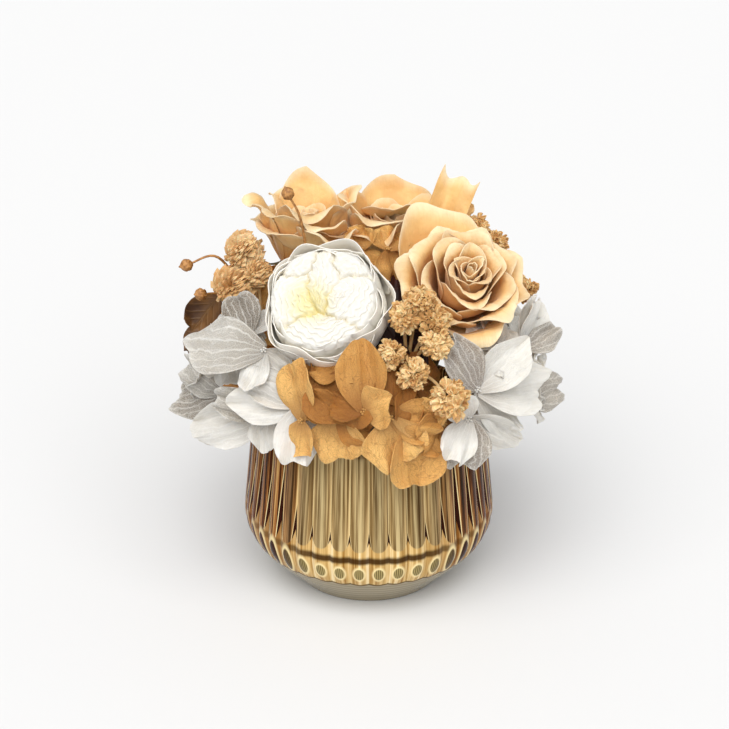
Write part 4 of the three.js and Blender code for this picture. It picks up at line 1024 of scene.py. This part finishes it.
def even_petals(centre, outwards, turn, length, shade, seed):
    """Four petals spread round a floret's centre, bent back over the bunch's dome."""
    azimuth = math.degrees(math.atan2(outwards.x, -outwards.y))
    elevation = math.degrees(math.asin(outwards.z / outwards.length))
    place = flower_frame(centre, azimuth, elevation)
    for k in range(4):
        n = seed * 31 + k
        angle = math.radians(turn + 90 * k + 24 * (scatter(n) - 0.5))
        reach = length * (0.9 + 0.2 * scatter(n + 1))
        drop = reach ** 2 / (2 * outwards.length) + 3 * (scatter(n + 2) - 0.6)
        tip = place @ Vector((reach * math.cos(angle), reach * math.sin(angle), -drop))
        yield *tip, reach * 1.3, min(1, max(0, shade + 0.5 * (scatter(n + 3) - 0.5)))


def bead(spot, radius, rounds):
    """A small ball at a spot, in mm."""
    bpy.ops.mesh.primitive_ico_sphere_add(subdivisions=rounds, radius=radius * MM, location=spot * MM)
    settled()
    return shaded(bpy.context.object, 0)


def floret(spec, hub, seed):
    """The petals of a floret, its stalk and the bead of stamens at its middle."""
    centre, middle = Vector(spec[0]), Vector(hub)
    outwards = centre - middle
    blades = spec[1] if isinstance(spec[1], list) else even_petals(centre, outwards, *spec[1:], seed)
    petals = []
    for k, (*tip, width, shade) in enumerate(blades):
        draws = [scatter(seed * 29 + k * 7 + m) for m in range(8)]
        along = Vector(tip) - centre
        shape = dict(width=width / 2, length=along.length * 1.03, neck=0.22, rounded=0.38, taper=0.06,
                     full=0.5, crimp=0.6, crumple=1.5, pleat=0.2, hug=width * (0.7 + 1.6 * draws[0]),
                     point=-0.1 * draws[1], wave=1.0 + 1.3 * draws[2], waves=1.6 + 1.4 * draws[3],
                     phase=6 * draws[4], cup=24 - 40 * draws[5], curl=60 * (draws[6] - 0.5),
                     fold=1.5 * draws[7])
        petals.append(laid(petal_surface(place=aimed(centre, tip, outwards), **shape), 26, 16, shade))
    end = centre + outwards.normalized() * 0.4
    stalk = shoot([middle, middle.lerp(end, 0.5) + Vector((0, 0, 1)), end], 0.7, 0.5)
    place = aimed(centre, centre + outwards, (0, 0, 1))
    ring = [Vector((0, 0, 0.8))]
    ring += [Vector((0.9 * math.cos(2.4 * k), 0.9 * math.sin(2.4 * k), 0.8)) for k in range(1, 6)]
    return petals, [stalk, *[bead(place @ spot, 0.5, 1) for spot in ring]]


def veined_finish(name, deep, body, pale, vein, lace):
    """A veined petal: fan veins from the root, a fine net between them, thin and lacy where bleached."""
    finish = Finish(name)
    u, v = finish.own_map()
    shade = finish.shade()
    where = finish.place()
    drift = finish.noise(finish.vector(u * 2 + shade * 31, v * 3), 1.5, 2.0) - 0.5
    fan = ((u * 40 + drift * 9).sine() * 0.5 + 0.5) ** 14
    fine = ((u * 97 + drift * 30 + v * 3).sine() * 0.5 + 0.5) ** 8 * v.step(0.25, 0.6)
    midrib = 1 - ((u - 0.5).size() * (v + 0.35)).step(0.0, 0.02)
    net = finish.node("ShaderNodeTexVoronoi", {"feature": "DISTANCE_TO_EDGE"},
                      {"Vector": where, "Scale": 1400.0})
    mesh_lines = 1 - net.step(0.0, 0.16)
    fork = finish.node("ShaderNodeTexVoronoi", {"feature": "DISTANCE_TO_EDGE"},
                       {"Vector": finish.vector(u * 11 + drift * 4, v * 5 + shade * 13 + drift * 3),
                        "Scale": 1.0})
    branches = (1 - fork.step(0.0, 0.05)) * v.step(0.1, 0.4)
    lines = (fan * 0.7 + fine * 0.35 + midrib * 0.8).math("MINIMUM", 1.0)
    cloud = finish.noise(where, 110.0, 4.0)
    # Pale to deep by each petal's shade: partly its own tone, partly painted shade on petals deep in the
    # bunch. Every petal is also darker towards its root.
    colour = finish.mix(shade, pale, body)
    colour = finish.mix(shade.step(0.5, 1.2), colour, deep)
    colour = finish.mix(cloud.step(0.4, 0.75) * 0.45, colour, body)
    colour = finish.mix((1 - v.step(0.0, 0.5)) * 0.6, colour, deep)
    colour = finish.mix(lines * 0.14 + branches * 0.3 + mesh_lines * 0.16, colour, vein)
    if lace:
        colour = finish.mix(fan * 0.35, colour, vein)
        colour = finish.mix(v.step(0.8, 1.0) * 0.5, colour, pale)
    fibres = finish.noise(finish.vector(u * 34 + drift, v * 2.5, shade * 9), 1.0, 4.0, 0.65)
    colour = finish.mix(fibres.step(0.45, 0.75) * 0.16, colour, deep)
    relief = lines * 0.4 + branches * 0.5 + mesh_lines * 0.4 + cloud * 1.6 + fibres * 0.2
    inputs = dict(Base_Color=colour, Roughness=0.7, Subsurface_Weight=0.3, Subsurface_Scale=0.003,
                  Subsurface_Radius=(1.0, 0.8, 0.6), Normal=finish.bump(relief, 0.6, 0.0005))
    if lace:
        open_share = (1 - (lines + mesh_lines).math("MINIMUM", 1.0)) * shade.step(0.3, 1.0) * lace
        inputs["Alpha"] = 1 - open_share
    finish.surface(**inputs)
    return finish


VEINED = {
    "caramel": veined_finish("caramel_petal", "7a450e", "b57222", "f5bc6e", "6a380c", 0),
    "lace": veined_finish("lace_petal", "80776c", "a59c90", "f3eee4", "f4f0e8", 0.25),
    "white": veined_finish("bleached_petal", "968a80", "c6beb0", "f2ede2", "f6f1e8", 0.25),
}
SLOTS = {"caramel": "caramel_petals", "lace": "pale_petals", "white": "pale_petals"}
KNOT_RADIUS = 3.6
for n, (name, kind, hub, florets) in enumerate(BUNCHES):
    petals, shoots = [], []
    for k, spec in enumerate(florets):
        more_petals, more_shoots = floret(spec, hub, n * 7 + k)
        petals += more_petals
        shoots += more_shoots
    blades = thickened(joined("petals", petals), PETAL_THICKNESS)
    stem = rooted(Vector(hub) + Vector((0, 0, 1)), (0, 0, -1), hub[:2], 1.3, 4)
    whole = joined(name + "_bunch", [blades, *shoots, stem, bead(Vector(hub), KNOT_RADIUS, 3)])
    smoothed(60)
    dress(whole, VEINED[kind], SLOTS[kind], name)

# ----------------------------------------------------------
# The studio: a plain pale floor, a soft sky, a softbox at the upper left and another at the front,
# with the camera at the photograph's viewing angle.

TARGET = Vector((-0.0017, 0, 0.0884))
CAMERA_TILT = math.radians(26)
CAMERA_DISTANCE = 0.9
SENSOR = 36
FOCAL_SHARE = 2340 / 729
LIGHTS = [("softbox", 1.5, 50, (1.0, 0.99, 0.975), (0.35, 0.7, -1.0)),
          ("front_light", 1.9, 60, (1.0, 1.0, 1.0), (-0.15, 0.8, -1.0))]

bpy.ops.object.select_all(action="DESELECT")
bpy.ops.mesh.primitive_plane_add(size=8)
floor = bpy.context.object
floor.name = "floor"
paper = Finish("pale_floor")
paper.surface(Base_Color="e4e4e4", Roughness=0.9)
floor.data.materials.append(paper.material)

world = bpy.data.worlds.new("soft_sky")
world.use_nodes = True
sky = world.node_tree.nodes["Background"].inputs
sky["Color"].default_value = (0.985, 0.993, 1.0, 1)
sky["Strength"].default_value = 0.42
bpy.context.scene.world = world

for name, strength, spread, colour, shining in LIGHTS:
    sun = bpy.data.lights.new(name, "SUN")
    sun.energy, sun.angle, sun.color = strength, math.radians(spread), colour
    placed(name, sun).rotation_euler = Vector(shining).to_track_quat("-Z", "Y").to_euler()

camera = placed("camera", bpy.data.cameras.new("camera"))
back = Vector((0, -math.cos(CAMERA_TILT), math.sin(CAMERA_TILT)))
camera.location = TARGET + back * CAMERA_DISTANCE
camera.rotation_euler = (-back).to_track_quat("-Z", "Y").to_euler()
camera.data.sensor_width = SENSOR
camera.data.lens = FOCAL_SHARE * SENSOR
bpy.context.scene.camera = camera
bpy.context.scene.view_settings.view_transform = "Standard"
